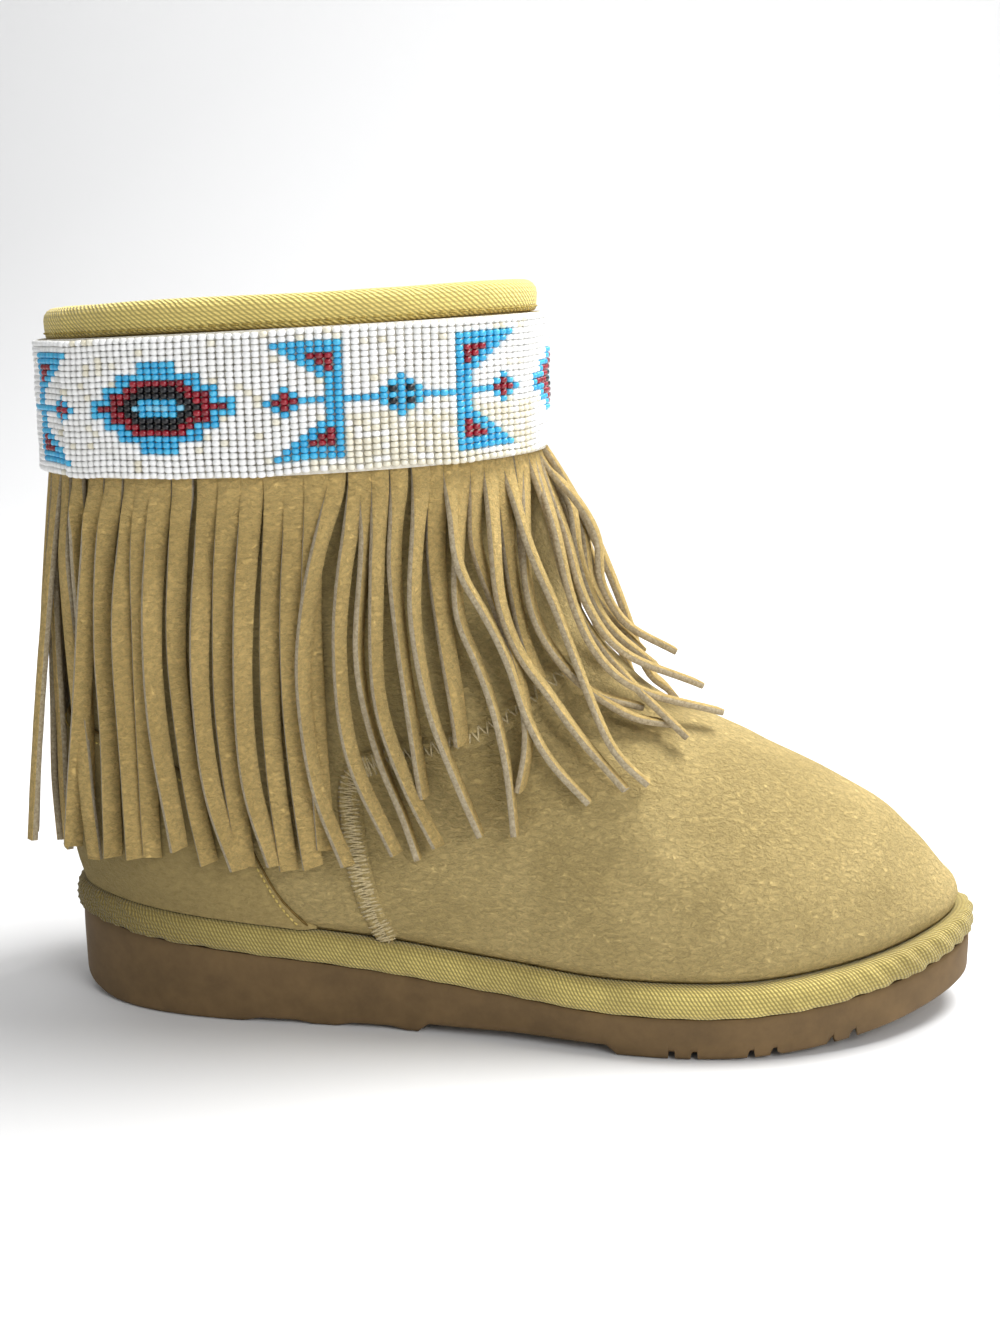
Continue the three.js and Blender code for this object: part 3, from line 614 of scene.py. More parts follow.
def ends_effect():
    """A mask that grows towards the heel and towards the toe, where painted shade is mixed in."""
    tree, given = effect(
        "Heel and toe", [("Heel", FLOAT, 1.0), ("Toe", FLOAT, 1.0)], [("Mask", FLOAT)])
    place = add(tree, "ShaderNodeTexCoord", {}).outputs["Object"]
    along = add(tree, "ShaderNodeSeparateXYZ", {0: place}).outputs["X"]
    heel = math_node(tree, "MULTIPLY", remap(tree, along, -0.02, -0.13, "SMOOTHSTEP"), given["Heel"])
    toe = math_node(tree, "MULTIPLY", remap(tree, along, 0.07, 0.125, "SMOOTHSTEP"), given["Toe"])
    add(tree, "NodeGroupOutput", {"Mask": math_node(tree, "ADD", heel, toe, clamp=True)})


# Colours from 0 to 255 that all finishes of a kind share, and reliefs in metres.
SUEDE_SHEEN = (235, 215, 160)
# Painted shade for the tape's heel and toe.
TAPE_PAINTED_SHADE = (98, 82, 46)
# The tape's second colour, and the share of a plain finish's second colour, laid in soft patches that
# grow near the floor.
TAPE_PATCH_COLOUR = (120, 104, 62)
PLAIN_PATCH_SHARE = 0.8
SHEEN_ROUGHNESS = 0.45
SUEDE_RELIEF = 0.0011
TAPE_RELIEF = 0.0004


def use_effect(tree, name, links):
    return add(tree, "ShaderNodeGroup", links, node_tree=bpy.data.node_groups[name]).outputs


def new_material(name, roughness, sheen=0.0, coat=0.0, specular=0.5):
    made = bpy.data.materials.new(name)
    made.use_nodes = True
    tree = made.node_tree
    shader = feed(tree, tree.nodes["Principled BSDF"], {
        "Roughness": roughness, "Sheen Weight": sheen, "Sheen Roughness": SHEEN_ROUGHNESS,
        "Coat Weight": coat, "Specular IOR Level": specular})
    return made, tree, shader


def add_bump(tree, shader, height_socket, strength, distance):
    made = add(tree, "ShaderNodeBump", {"Strength": strength, "Distance": distance,
                                        "Height": height_socket})
    tree.links.new(made.outputs["Normal"], shader.inputs["Normal"])


def linear(rgb):
    """A colour written as 0 to 255, as Blender's linear colour."""
    return tuple((c / 255) ** 2.2 for c in rgb) + (1.0,)


def suede_material(name, body, shade, light, patches, strokes, strength, heel=0.0):
    """Brushed suede, with painted shade darkening it towards the heel by the share given."""
    made, tree, shader = new_material(name, 0.92, sheen=0.35, specular=0.15)
    shader.inputs["Sheen Tint"].default_value = linear(SUEDE_SHEEN)
    nap = use_effect(tree, "Suede nap", {
        "Body": linear(body), "Shade": linear(shade), "Light": linear(light),
        "Patches": patches, "Strokes": strokes})
    # Painted shade: the heel mask mixes the shade colour in towards the heel.
    shade_mask = use_effect(tree, "Heel and toe", {"Heel": heel, "Toe": 0.0})["Mask"]
    colour = mix_colour(tree, shade_mask, nap["Colour"], linear(shade))
    tree.links.new(colour, shader.inputs["Base Color"])
    add_bump(tree, shader, nap["Height"], strength, SUEDE_RELIEF)
    return made


def tape_material(name, thread, valley, slant, pitch=0.0011, heel=0.0, toe=0.0):
    """Twill tape, with painted shade darkening the heel and the toe by the shares given."""
    made, tree, shader = new_material(name, 0.85, sheen=0.2, specular=0.2)
    weave = use_effect(tree, "Twill weave", {
        "Thread": linear(thread), "Valley": linear(valley), "Slant": slant, "Rib pitch": pitch})
    shade_mask = use_effect(tree, "Heel and toe", {"Heel": heel, "Toe": toe})["Mask"]
    # Painted shade: the tape is mixed darker at the heel and the toe.
    shaded_ends = mix_colour(tree, shade_mask, weave["Colour"], linear(TAPE_PAINTED_SHADE))
    # A second colour in soft patches, stronger near the floor.
    patched = use_effect(tree, "Low patches", {
        "Colour": shaded_ends, "Patch colour": linear(TAPE_PATCH_COLOUR), "Amount": 0.5, "Reach": 0.04})
    tree.links.new(patched["Colour"], shader.inputs["Base Color"])
    add_bump(tree, shader, weave["Height"], 0.8, TAPE_RELIEF)
    return made


def plain_material(name, colour, second, roughness, scale, strength=0.3, sheen=0.0, specular=0.3,
                   distance=0.0004):
    """A mottled material with a grain of its own: thread, foam, fleece or cut suede."""
    made, tree, shader = new_material(name, roughness, sheen=sheen, specular=specular)
    place = add(tree, "ShaderNodeTexCoord", {}).outputs["Object"]
    grain = noise(tree, place, scale, 4.0, 0.65)
    mottled = mix_colour(tree, remap(tree, grain, 0.35, 0.65), linear(colour), linear(second))
    # A second colour in soft patches, stronger near the floor.
    patched = use_effect(tree, "Low patches", {
        "Colour": mottled, "Patch colour": linear(PLAIN_PATCH_SHARE * np.array(second)), "Amount": 0.3})
    tree.links.new(patched["Colour"], shader.inputs["Base Color"])
    add_bump(tree, shader, grain, strength, distance)
    return made


def bead_material(name, colour, second, roughness, coat):
    """Glass beads of one colour, each a little different from the next."""
    made, tree, shader = new_material(name, roughness, coat=coat)
    each = add(tree, "ShaderNodeNewGeometry", {}).outputs["Random Per Island"]
    tree.links.new(mix_colour(tree, each, linear(colour), linear(second)),
                   shader.inputs["Base Color"])
    return made


# Settings that a user would change.

class BootColours(bpy.types.PropertyGroup):
    suede: FloatVectorProperty(name="Suede", description="Colour of the suede's body", size=3,
                               default=(178 / 255, 156 / 255, 103 / 255), min=0, max=1,
                               subtype="COLOR_GAMMA")
    fringe: FloatVectorProperty(name="Fringe", description="Colour of the fringe's nap", size=3,
                                default=(216 / 255, 184 / 255, 116 / 255), min=0, max=1,
                                subtype="COLOR_GAMMA")
    tape: FloatVectorProperty(name="Tape", description="Colour of the twill's threads", size=3,
                              default=(211 / 255, 191 / 255, 114 / 255), min=0, max=1,
                              subtype="COLOR_GAMMA")
    sole: FloatVectorProperty(name="Sole", description="Colour of the moulded sole", size=3,
                              default=(112 / 255, 90 / 255, 60 / 255), min=0, max=1,
                              subtype="COLOR_GAMMA")


class BootSizes(bpy.types.PropertyGroup):
    strand_length: FloatProperty(name="Strand length", description="Length of a falling strand",
                                 default=0.108, min=0.02, max=0.14, unit="LENGTH")
    crease_depth: FloatProperty(name="Crease depth", description="Scale of the creases",
                                default=1.0, min=0, max=3, subtype="FACTOR")
    bead_columns: IntProperty(name="Bead columns", description="Columns of beads round the band",
                              default=168, min=20, max=400)
    bead_rows: IntProperty(name="Bead rows", description="Rows of beads across the band",
                           default=23, min=3, max=60)


def make_effects():
    nap_effect()
    twill_effect()
    low_patches_effect()
    ends_effect()


def finishes():
    """What makes each finish, and the values that follow the finish's name in its call."""
    colours = bpy.context.scene.boot_colours
    suede, fringe, tape, sole = (255 * np.array(rgb) for rgb in (
        colours.suede, colours.fringe, colours.tape, colours.sole))
    return {
        # The last value of the suede and of the overlay suede is their painted shade towards the heel.
        "suede": (suede_material, suede * 1.08, suede * 0.66, suede * 1.2 + 14, 0.7, 0.5, 1.0, 0.45),
        "overlay suede": (suede_material, suede * 0.97, suede * 0.62, suede * 1.1, 0.4, 0.5, 0.6, 0.55),
        "fringe nap": (suede_material, fringe, fringe * 0.68, fringe * 1.1 + 10, 0.6, 0.6, 1.0),
        # The last two values of the tape are its painted shade at the heel and the toe.
        "tape": (tape_material, tape * 1.07, tape * 0.7, 0.7, 0.0011, 0.8, 0.4),
        "collar tape": (tape_material, tape * 1.16, tape * 0.8, 0.9, 0.0017),
        "sole": (plain_material, sole, sole * 0.88, 0.7, 120, 0.12, 0.0, 0.3, 0.0003),
        "cut edge": (plain_material, (186, 172, 144), (146, 132, 106), 0.95, 1300, 0.8, 0.2, 0.1),
        # A dark rod just past the heel overlay's edge, a painted shadow.
        "raw edge": (plain_material, (124, 102, 62), (98, 80, 46), 0.95, 900, 0.5, 0.0, 0.05),
        "thread": (plain_material, (208, 191, 148), (166, 148, 106), 0.9, 1500, 0.5, 0.3),
        "bright thread": (plain_material, (222, 200, 120), (190, 164, 90), 0.85, 1500, 0.5),
        "tape thread": (plain_material, (190, 168, 92), (140, 120, 60), 0.85, 1500, 0.5),
        "fleece": (plain_material, (226, 212, 176), (190, 172, 130), 0.97, 420, 1.0, 0.5, 0.1, 0.0015),
        "backing": (plain_material, (232, 228, 216), (208, 202, 186), 0.9, 700, 0.4),
        "white bead": (bead_material, (248, 248, 247), (238, 238, 235), 0.32, 0.3),
        "cream bead": (bead_material, (236, 232, 216), (226, 219, 197), 0.25, 0.4),
        "blue bead": (bead_material, (70, 184, 226), (48, 162, 214), 0.22, 0.5),
        "light blue bead": (bead_material, (150, 212, 236), (120, 196, 226), 0.15, 0.6),
        "red bead": (bead_material, (156, 20, 40), (122, 12, 30), 0.22, 0.5),
        "black bead": (bead_material, (8, 10, 14), (16, 18, 24), 0.3, 0.3),
    }


def material(name):
    """The named finish, made when it is first asked for."""
    full_name = "boot " + name
    if full_name in bpy.data.materials:
        return bpy.data.materials[full_name]
    maker, *values = finishes()[name]
    return maker(full_name, *values)


# The suede upper.

# Creases on the outer side: from one place to another in side view, in millimetres, then
# their width and depth. A negative depth is a ridge.
CREASES = [
    ((-8, 80, 6, 86), 4.5, 1.1),
    ((-12, 88, 4, 97), 5, -0.9),
    ((-34, 62, -36, 40), 4, 0.7),
    ((8, 92, 20, 84), 7, 0.8),
    ((20, 72, 44, 60), 9, -0.8),
    ((-2, 66, 18, 52), 9, 0.7),
    ((-30, 98, -6, 106), 7, 1.3),
    ((-26, 112, -2, 124), 8, 1.2),
    ((-60, 92, -36, 84), 8, 1.0),
    ((-118, 74, -92, 88), 9, 0.9),
    ((70, 38, 96, 34), 10, -0.5),
    ((109, 49, 115, 37), 3.6, 0.9),
    ((103, 47, 109, 38), 4.5, -0.5),
    ((53, 63, 49, 51), 5, 0.7),
    ((60, 66, 62, 54), 8, -0.6),
    ((72, 72, 86, 63), 6, 0.7),
    ((24, 58, 40, 44), 7, 0.8),
    ((30, 66, 48, 50), 7, -0.6),
    ((2, 44, 14, 36), 6, 0.6),
]


def crease_depth(points):
    x, z = points[..., 0], points[..., 2]
    total = np.zeros_like(x)
    for (x0, z0, x1, z1), width, depth in CREASES:
        along = np.array([x1 - x0, z1 - z0], float)
        t = clamp01(((x - x0) * along[0] + (z - z0) * along[1]) / (along @ along))
        away = np.hypot(x - x0 - t * along[0], z - z0 - t * along[1])
        fade = 0.55 + 0.45 * np.sin(math.pi * clamp01(t * 0.9 + 0.05))
        total += depth * fade * hump(away, 0, width)
    return total * bpy.context.scene.boot_sizes.crease_depth


def soft_noise(points, size, seed):
    """Smooth random values from -1 to 1 over space, with features of about the size given."""
    place = np.asarray(points) / size + seed
    cell = np.floor(place).astype(np.int64)
    part = place - cell
    part = part * part * (3 - 2 * part)
    total = np.zeros(place.shape[:-1])
    for corner in range(8):
        step = np.array([corner & 1, corner >> 1 & 1, corner >> 2 & 1])
        at = (cell + step) & 255
        value = NOISE_TABLE[NOISE_ORDER[NOISE_ORDER[at[..., 0]] + at[..., 1] & 255]
                            + at[..., 2] & 255]
        total += value * np.prod(np.where(step, part, 1 - part), axis=-1)
    return total


# Unevenness in layers: the size of its features, its depth and its seed.
SUEDE_UNEVEN = [(26, 0.6, 3.1), (9, 0.25, 8.7)]
OVERLAY_UNEVEN = [(18, 0.3, 6.6)]
FLEECE_TUFTS = [(3.2, 0.9, 1.7), (1.5, 0.5, 5.1)]
FOOTBED_TUFTS = [(4, 0.5, 2.2)]

# The suede is tucked in at the sole, and lies true next to the sole and the collar. The fleece
# lies flat next to the collar, and is sunk into the wall behind.
TUCK = 1.3
TUCK_TO = 0.022
TRUE_FOOT = 0.03
TRUE_COLLAR = 0.06
FLEECE_COLLAR = 0.05
FLEECE_SUNK = 0.8


def uneven(points, layers):
    return sum(depth * soft_noise(points, size, seed) for size, depth, seed in layers)


def suede_surface(turns, levels):
    """The suede's outside with its creases and soft unevenness."""
    turn, level = np.meshgrid(turns, levels)
    points = last_point(turn, level)
    hold = smooth(level / TRUE_FOOT) * smooth((1 - level) / TRUE_COLLAR)
    tucked = -TUCK * (1 - smooth(level / TUCK_TO))
    return form(turn, level, tucked + hold * (uneven(points, SUEDE_UNEVEN) - crease_depth(points)))


def make_suede_upper():
    turns = closed_turns(330)
    levels = np.concatenate([np.linspace(0, 0.05, 9)[:-1], np.linspace(0.05, 0.62, 110)[:-1],
                             np.linspace(0.62, 1, 26)])
    outside = suede_surface(turns, levels)
    turn, level = np.meshgrid(turns, levels[::-8])
    inside = form(turn, level, -SUEDE_BACK)
    rings = np.concatenate([outside, inside])
    quads, _, _ = tube_faces(len(rings), len(turns), True)
    made = shape("suede_upper", rings, quads, [material("suede")])
    return finish_piece(made, "suede", "upper")


def make_fleece():
    turns = closed_turns(240)
    levels = np.linspace(0.004, 0.985, 110)
    turn, level = np.meshgrid(turns, levels)
    tuft = np.abs(uneven(form(turn, level, 0.4 - WALL), FLEECE_TUFTS))
    inside = form(turn, level, 0.3 - WALL - tuft * smooth((1 - level) / FLEECE_COLLAR))
    turn, level = np.meshgrid(turns, levels[::-3])
    outside = form(turn, level, FLEECE_SUNK - WALL)
    rings = np.concatenate([inside, outside])
    quads, _, _ = tube_faces(len(rings), len(turns), True)
    made = shape("fleece_lining", rings, quads[:, ::-1], [material("fleece")])
    return finish_piece(made, "footbed")


# Section of the footbed: how high over the platform, and how far inside the wall.
FOOTBED_PROFILE = [(GAP, 0.8), (INSOLE_THICKNESS - 1, 0.6), (INSOLE_THICKNESS, 1.5),
                   (INSOLE_THICKNESS + 0.3, 4)]
FOOTBED_TURNS = 160
FOOTBED_RINGS = 12


def make_footbed():
    turns = closed_turns(FOOTBED_TURNS)
    rings = []
    for rise, inset in FOOTBED_PROFILE:
        ring = form(turns, rise / (2 * INSTEP_HEIGHT), -WALL - inset)
        ring[:, 2] = platform(ring[:, 0]) + rise
        rings.append(ring)
    edge = rings[-1]
    middle = sole_centre(share(edge[:, 0])) * BALL_WIDTH
    for k in range(1, FOOTBED_RINGS):
        ring = edge.copy()
        ring[:, 1] = lerp(edge[:, 1], middle, k / FOOTBED_RINGS)
        ring[:, 2] += uneven(ring, FOOTBED_TUFTS)
        rings.append(ring)
    quads, _, _ = tube_faces(len(rings), FOOTBED_TURNS, False)
    lid = across_faces((len(rings) - 1) * FOOTBED_TURNS, FOOTBED_TURNS)
    under = [face[::-1] for face in across_faces(0, FOOTBED_TURNS)]
    made = shape("fleece_footbed", np.array(rings), quads.tolist() + lid + under,
                 [material("fleece")])
    return finish_piece(made, "footbed", "insole")


# The heel overlay and the raised seam.

# The overlay runs a little past its edge, where its rim dips into the suede.
OVERLAY_PAST = 1.005
OVERLAY_RISE = 0.6
OVERLAY_FOOT = 0.004
RIM_WIDTH = 1.2
RIM_DIP = 0.5

# Its row of stitches and its painted edge shadow: how far below the edge, how far out, and from what
# height.
STITCHED = {"drop": 1.6, "out": GAP + COUNTER_THICKNESS + 0.3, "lowest": 1.5}
EDGE_SHADOW_LINE = {"drop": -0.9, "out": GAP + 0.25, "lowest": 0.3}
EDGE_SHARE = 0.985


def overlay_top(turns):
    base = last_point(turns, 0)[:, 0]
    return COUNTER_HEIGHT * counter_up(clamp01((base - HEEL_BACK) / COUNTER_REACH))


def overlay_line(turns, drop, out, lowest):
    up = overlay_top(turns) - drop
    return form(turns, np.maximum(up, 0) / (2 * INSTEP_HEIGHT), out)[up > lowest]


def make_heel_overlay():
    limit = math.acos(1 - 2 * (COUNTER_REACH / SOLE_LENGTH) * OVERLAY_PAST)
    turns = np.linspace(-limit, limit, 121)
    rows = np.concatenate([[0, 0.004, 0.012], np.linspace(0.03, 0.95, 26), [0.975, 0.99, 1]])
    top = overlay_top(turns) + OVERLAY_RISE
    turn, row = np.meshgrid(turns, rows)
    level = OVERLAY_FOOT + row * (top / (2 * INSTEP_HEIGHT))[None]
    rim = smooth((top[None] * (1 - row)) / RIM_WIDTH) * smooth(top[None] / 3)
    out = (GAP + COUNTER_THICKNESS + uneven(last_point(turn, level), OVERLAY_UNEVEN)) * rim
    out -= RIM_DIP * (1 - rim)
    made = shape("heel_overlay", form(turn, level, out), sheet_faces(len(rows), len(turns)),
                 [material("overlay suede")])
    finish_piece(made, "suede", "heel_counter")
    edge_turns = np.linspace(-limit, limit, 401) * EDGE_SHARE
    points, faces = rods(dashes(overlay_line(edge_turns, **STITCHED), 1.7, 1.15, 0.2), 0.3)
    stitches = shape("overlay_stitches", points, faces, [material("bright thread")])
    finish_piece(stitches, "seam_thread")
    # A dark rod lying on the suede just past the overlay's edge is a painted shadow line.
    points, faces = rods([overlay_line(edge_turns, **EDGE_SHADOW_LINE)], 0.4, sides=6)
    edge = shape("overlay_edge_shadow", points, faces, [material("raw edge")])
    return finish_piece(edge, "seam_thread")


def dashes(path, pitch, length, sag):
    """Short stitches along a path, each with its ends pulled in."""
    walked = walk(path)
    centre = path.mean(axis=0)
    found = []
    for start in np.arange(0, walked[-1] - length, pitch):
        dash = places_along(path, walked, start + np.linspace(0, length, 4))
        inward = centre - dash
        inward[:, 2] = 0
        inward /= np.linalg.norm(inward, axis=1, keepdims=True) + TINY
        dash[[0, -1]] += inward[[0, -1]] * sag
        found.append(dash)
    return found


def catmull(values, stop):
    i = np.clip(stop.astype(int), 0, len(values) - 2)
    t = stop - i
    padded = np.concatenate([[2 * values[0] - values[1]], values, [2 * values[-1] - values[-2]]])
    a, b, c, d = (padded[i + k] for k in range(4))
    return 0.5 * (2 * b + (c - a) * t + (2 * a - 5 * b + 4 * c - d) * t ** 2
                  + (3 * b - a - 3 * c + d) * t ** 3)


def seam_path(count):
    """The raised seam's middle line in side view, from the platform to the instep's middle."""
    rows = np.array(SEAM_ROUTE)
    stop = np.linspace(0, len(rows) - 1, 400)
    x = HEEL_BACK + SOLE_LENGTH * catmull(rows[:, 0], stop)
    z = height(x, INSTEP_LEVEL * catmull(rows[:, 1], stop))
    line = np.stack([x, np.maximum(z, platform(x) + 0.4)], -1)
    walked = walk(line)
    return places_along(line, walked, np.linspace(0, walked[-1], count)).T, walked[-1]


def seam_ribbon(side, count, across, lift):
    """Points of the seam's ribbon: rows along it, columns across it, off the upper by lift."""
    (x, z), _ = seam_path(count)
    tx, tz = np.gradient(x), np.gradient(z)
    length = np.hypot(tx, tz)
    wide_x = x[:, None] - across[None] * (tz / length)[:, None]
    wide_z = z[:, None] + across[None] * (tx / length)[:, None]
    turn, level = locate(wide_x, np.maximum(wide_z, platform(wide_x) + 0.2), side)
    return form(turn, level, lift)


# The seam's section: a groove down its middle, a bumpy top and sides sunk into the suede.
SEAM_ROWS = 260
SEAM_GROOVE = 0.7
GROOVE_REACH = 0.6
SEAM_BUMPS = 0.35
SEAM_SINK = 0.55

# Its threads, dense in the low part and an open zigzag above: their pitch, their reach to each
# side as a share of the seam's width, and their slope along it.
DENSE_SHARE = 0.56
DENSE_PITCH = 0.62
DENSE_REACH = (0.36, 0.46)
DENSE_SLOPE = (0.3, 1.1)
ZIGZAG_PITCH = 1.35
ZIGZAG_REACH = (0.26, 0.34)
ZIGZAG_SLOPE = (0.85, 1.1)
THREAD_ROWS = 400
THREAD_COLUMNS = 8


def seam_threads(side, rng):
    """Cross stitches packed close from the sole upwards, then an open zigzag over the instep."""
    _, length = seam_path(2)
    dense_places = list(np.arange(1.3, DENSE_SHARE * length, DENSE_PITCH))
    places = dense_places + list(np.arange(DENSE_SHARE * length, length, ZIGZAG_PITCH))
    columns = np.linspace(-0.5, 0.5, THREAD_COLUMNS + 1)
    sheet = seam_ribbon(side, THREAD_ROWS, columns * SEAM_WIDTH, GAP + 0.7)
    outwards = np.array([0, side * 0.95, 0.3])

    def on_sheet(along, across, lift):
        row = np.clip(along / length * (THREAD_ROWS - 1), 0, THREAD_ROWS - 1.001)
        column = np.clip((across + 0.5) * THREAD_COLUMNS, 0, THREAD_COLUMNS - 0.001)
        i, j = row.astype(int), column.astype(int)
        point = sheet[i, j]
        point = point + (sheet[i + 1, j] - point) * (row - i)[:, None]
        point = point + (sheet[i, j + 1] - sheet[i, j]) * (column - j)[:, None]
        return point + lift[:, None] * outwards

    lines = []
    t = np.linspace(0, 1, 9)
    for k, place in enumerate(places):
        dense = k < len(dense_places)
        flip = 1 if k % 2 else -1
        reach = rng.uniform(*(DENSE_REACH if dense else ZIGZAG_REACH))
        slope = rng.uniform(*DENSE_SLOPE) if dense else ZIGZAG_PITCH * rng.uniform(*ZIGZAG_SLOPE)
        along = np.clip(place + slope * (t - 0.5) + rng.uniform(-0.2, 0.2), 0, length)
        lift = 0.55 * np.sin(math.pi * t) ** 0.6 - 0.35 + rng.uniform(-0.1, 0.15)
        lines.append(on_sheet(along, flip * reach * (2 * t - 1), lift))
    return lines


def make_raised_seam():
    rng = random.Random(4)
    across = np.linspace(-0.5, 0.5, 13) * SEAM_WIDTH
    profile = SEAM_THICKNESS * (1 - (2 * np.abs(across) / SEAM_WIDTH) ** 4)
    profile = (profile - SEAM_GROOVE * hump(across, 0, GROOVE_REACH))[None]
    quads = sheet_faces(SEAM_ROWS, len(across))
    points, faces, threads = [], [], []
    for k, side in enumerate((-1, 1)):
        place = seam_ribbon(side, SEAM_ROWS, across, GAP + profile)
        bumpy = profile * (1 + SEAM_BUMPS * soft_noise(place, 1.8, 2.0))
        points.append(seam_ribbon(side, SEAM_ROWS, across, GAP + bumpy - SEAM_SINK))
        faces.append(quads[:, ::side] + k * SEAM_ROWS * len(across))
        threads += seam_threads(side, rng)
    made = shape("raised_seam", np.concatenate(points), np.concatenate(faces), [material("suede")])
    finish_piece(made, "seam_thread", "vamp_seam")
    points, faces = rods(threads, 0.3)
    zigzag = shape("seam_zigzag", points, faces, [material("thread")])
    return finish_piece(zigzag, "seam_thread")


# The sole.

# Scallops under the heel and grooves in pairs under the forefoot, as shares of their pitch.
SCALLOP_PITCH = WAIST[0] / 4
SCALLOP_ENDS = 0.12
SCALLOP_SLOPE = 0.18
FIRST_GROOVE = 0.7
GROOVE_SLOPE = 0.15

# Sections of the sole's side: how far out and up at the tread, then the share of the wall's height
# and how far out.
TREAD_PROFILE = [(-SOLE_EDGE, 0), (-0.6, 0.3), (-0.12, 0.85), (0, SOLE_EDGE)]
WALL_PROFILE = [(0.3, 0.1), (0.6, 0.15), (0.85, 0.1), (0.93, -0.05), (1, -0.5)]
WALL_FROM = 2.2


def recess(start, slope, end, depth):
    return [(start, 0), (start + slope, depth), (end - slope, depth), (end, 0)]


def relief_stations():
    """Places along the tread where its height changes, and how far it is cut there."""
    rows = recess(WAIST[0], WAIST_SLOPE, WAIST[1], WAIST_RISE)
    for start in (2 * SCALLOP_PITCH, 3 * SCALLOP_PITCH):
        rows += recess(start + SCALLOP_ENDS * SCALLOP_PITCH, SCALLOP_SLOPE * SCALLOP_PITCH,
                       start + (1 - SCALLOP_ENDS) * SCALLOP_PITCH, SCALLOP_DEPTH)
    half = GROOVE_WIDTH / 2 + GROOVE_SLOPE
    place = WAIST[1] + FIRST_GROOVE * LUG_PITCH
    while place < SOLE_LENGTH - LUG_PITCH:
        for groove in (place, place + RIB_WIDTH):
            rows += recess(groove - half, GROOVE_SLOPE, groove + half, GROOVE_DEPTH)
        place += LUG_PITCH
    rows.sort()
    return np.array(rows)


def make_outsole():
    stations = relief_stations()
    even = np.arccos(1 - 2 * np.linspace(0, 1, 190))
    marked = np.arccos(1 - 2 * stations[:, 0] / SOLE_LENGTH)
    half = np.unique(np.round(np.concatenate([np.linspace(0, math.pi, 150), even, marked]), 6))
    turns = np.concatenate([half, (TURN - half[1:-1])[::-1]])
    count, middle = len(turns), len(turns) // 2

    def worn_tread(x):
        return tread(x) + np.interp(x - HEEL_BACK, stations[:, 0], stations[:, 1], 0, 0)

    def wall(x, part):
        return lerp(tread(x) + SOLE_EDGE + WALL_FROM, bed(x), part)

    rings = [sole_ring(turns, grow, lambda x: worn_tread(x) + rise) for grow, rise in TREAD_PROFILE]
    rings += [sole_ring(turns, grow, lambda x: wall(x, part)) for part, grow in WALL_PROFILE]
    rings.append(sole_ring(turns, -6, bed))
    quads, _, _ = tube_faces(len(rings), count, False)
    faces = quads.tolist()
    for start, step in ((0, -1), ((len(rings) - 1) * count, 1)):
        cap = [[start + 1, start + count - 1, start]] + across_faces(start, count)
        cap.append([start + middle - 1, start + middle, start + middle + 1])
        faces += [face[::step] for face in cap]
    made = shape("moulded_outsole", np.array(rings), faces, [material("sole")])
    made.data.set_sharp_from_angle(angle=math.radians(35))
    return finish_piece(made, "outsole_foam", "outsole")


# Section of the tape round the platform: share of its height, and how far it stands out.
TAPE_PROFILE = [(0.0, -9), (0.0, -0.8), (0.05, 0.25), (0.14, 0.85), (0.26, 1.15), (0.4, 1.25),
                (0.55, 1.2), (0.7, 1.0), (0.82, 0.6), (0.92, -0.1), (0.985, -1.4), (1.0, -2.6),
                (1.0, -9)]
TAPE_SHOWS = -2

# The tape's folds are deep at the heel and the toe (middle and reach, as shares of the length).
HEEL_FOLDS = (0.06, 0.12)
TOE_FOLDS = (0.95, 0.1)
FOLD_DEPTH = 0.55
FOLD_PITCH = 6.4
WIDE_PITCH = 14.3
WIDE_SHARE = 0.35
FOLD_SLANT = 1.4
HEEL_SLANT = 1.8
HEM_PITCH = 12.5


def make_taped_platform():
    turns = closed_turns(640)
    rings = np.array([sole_ring(turns, grow, lambda x: lerp(bed(x) + 0.1, platform(x), up))
                      for up, grow in TAPE_PROFILE])
    lengths = ring_lengths(rings[5])[:-1]
    at = along_turn(turns)
    heel, toe = hump(at, *HEEL_FOLDS), hump(at, *TOE_FOLDS)
    slant = FOLD_SLANT + HEEL_SLANT * heel
    drift = 0.15 * np.sin(lengths / 17) + 0.12 * np.sin(lengths / 6.1)
    hem = np.sin(TURN * lengths / HEM_PITCH) + 0.5 * np.sin(lengths / 5)
    for ring, (up, grow) in zip(rings, TAPE_PROFILE):
        if grow < TAPE_SHOWS:
            continue
        phase = lengths / FOLD_PITCH + slant * up + 0.25 * np.sin(lengths / 31)
        wide = WIDE_SHARE * np.sin(TURN * (lengths / WIDE_PITCH + slant * up / 2))
        push = FOLD_DEPTH * (heel + 0.8 * toe) * (np.sin(TURN * phase) + wide) + drift
        grown = sole_ring(turns, grow + push * smooth((grow - TAPE_SHOWS) / 2), platform)
        ring[:, :2] = grown[:, :2]
        ring[:, 2] += (0.1 + 0.16 * (heel + toe)) * hem * (1 - up)
    quads, round_at, along_at = tube_faces(len(rings), len(turns), True)
    uv = tape_uv(rings, round_at, along_at)
    made = shape("taped_platform", rings, quads, [material("tape")], uv=uv)
    return finish_piece(made, "twill_tape", "platform_wrap")


# The collar.

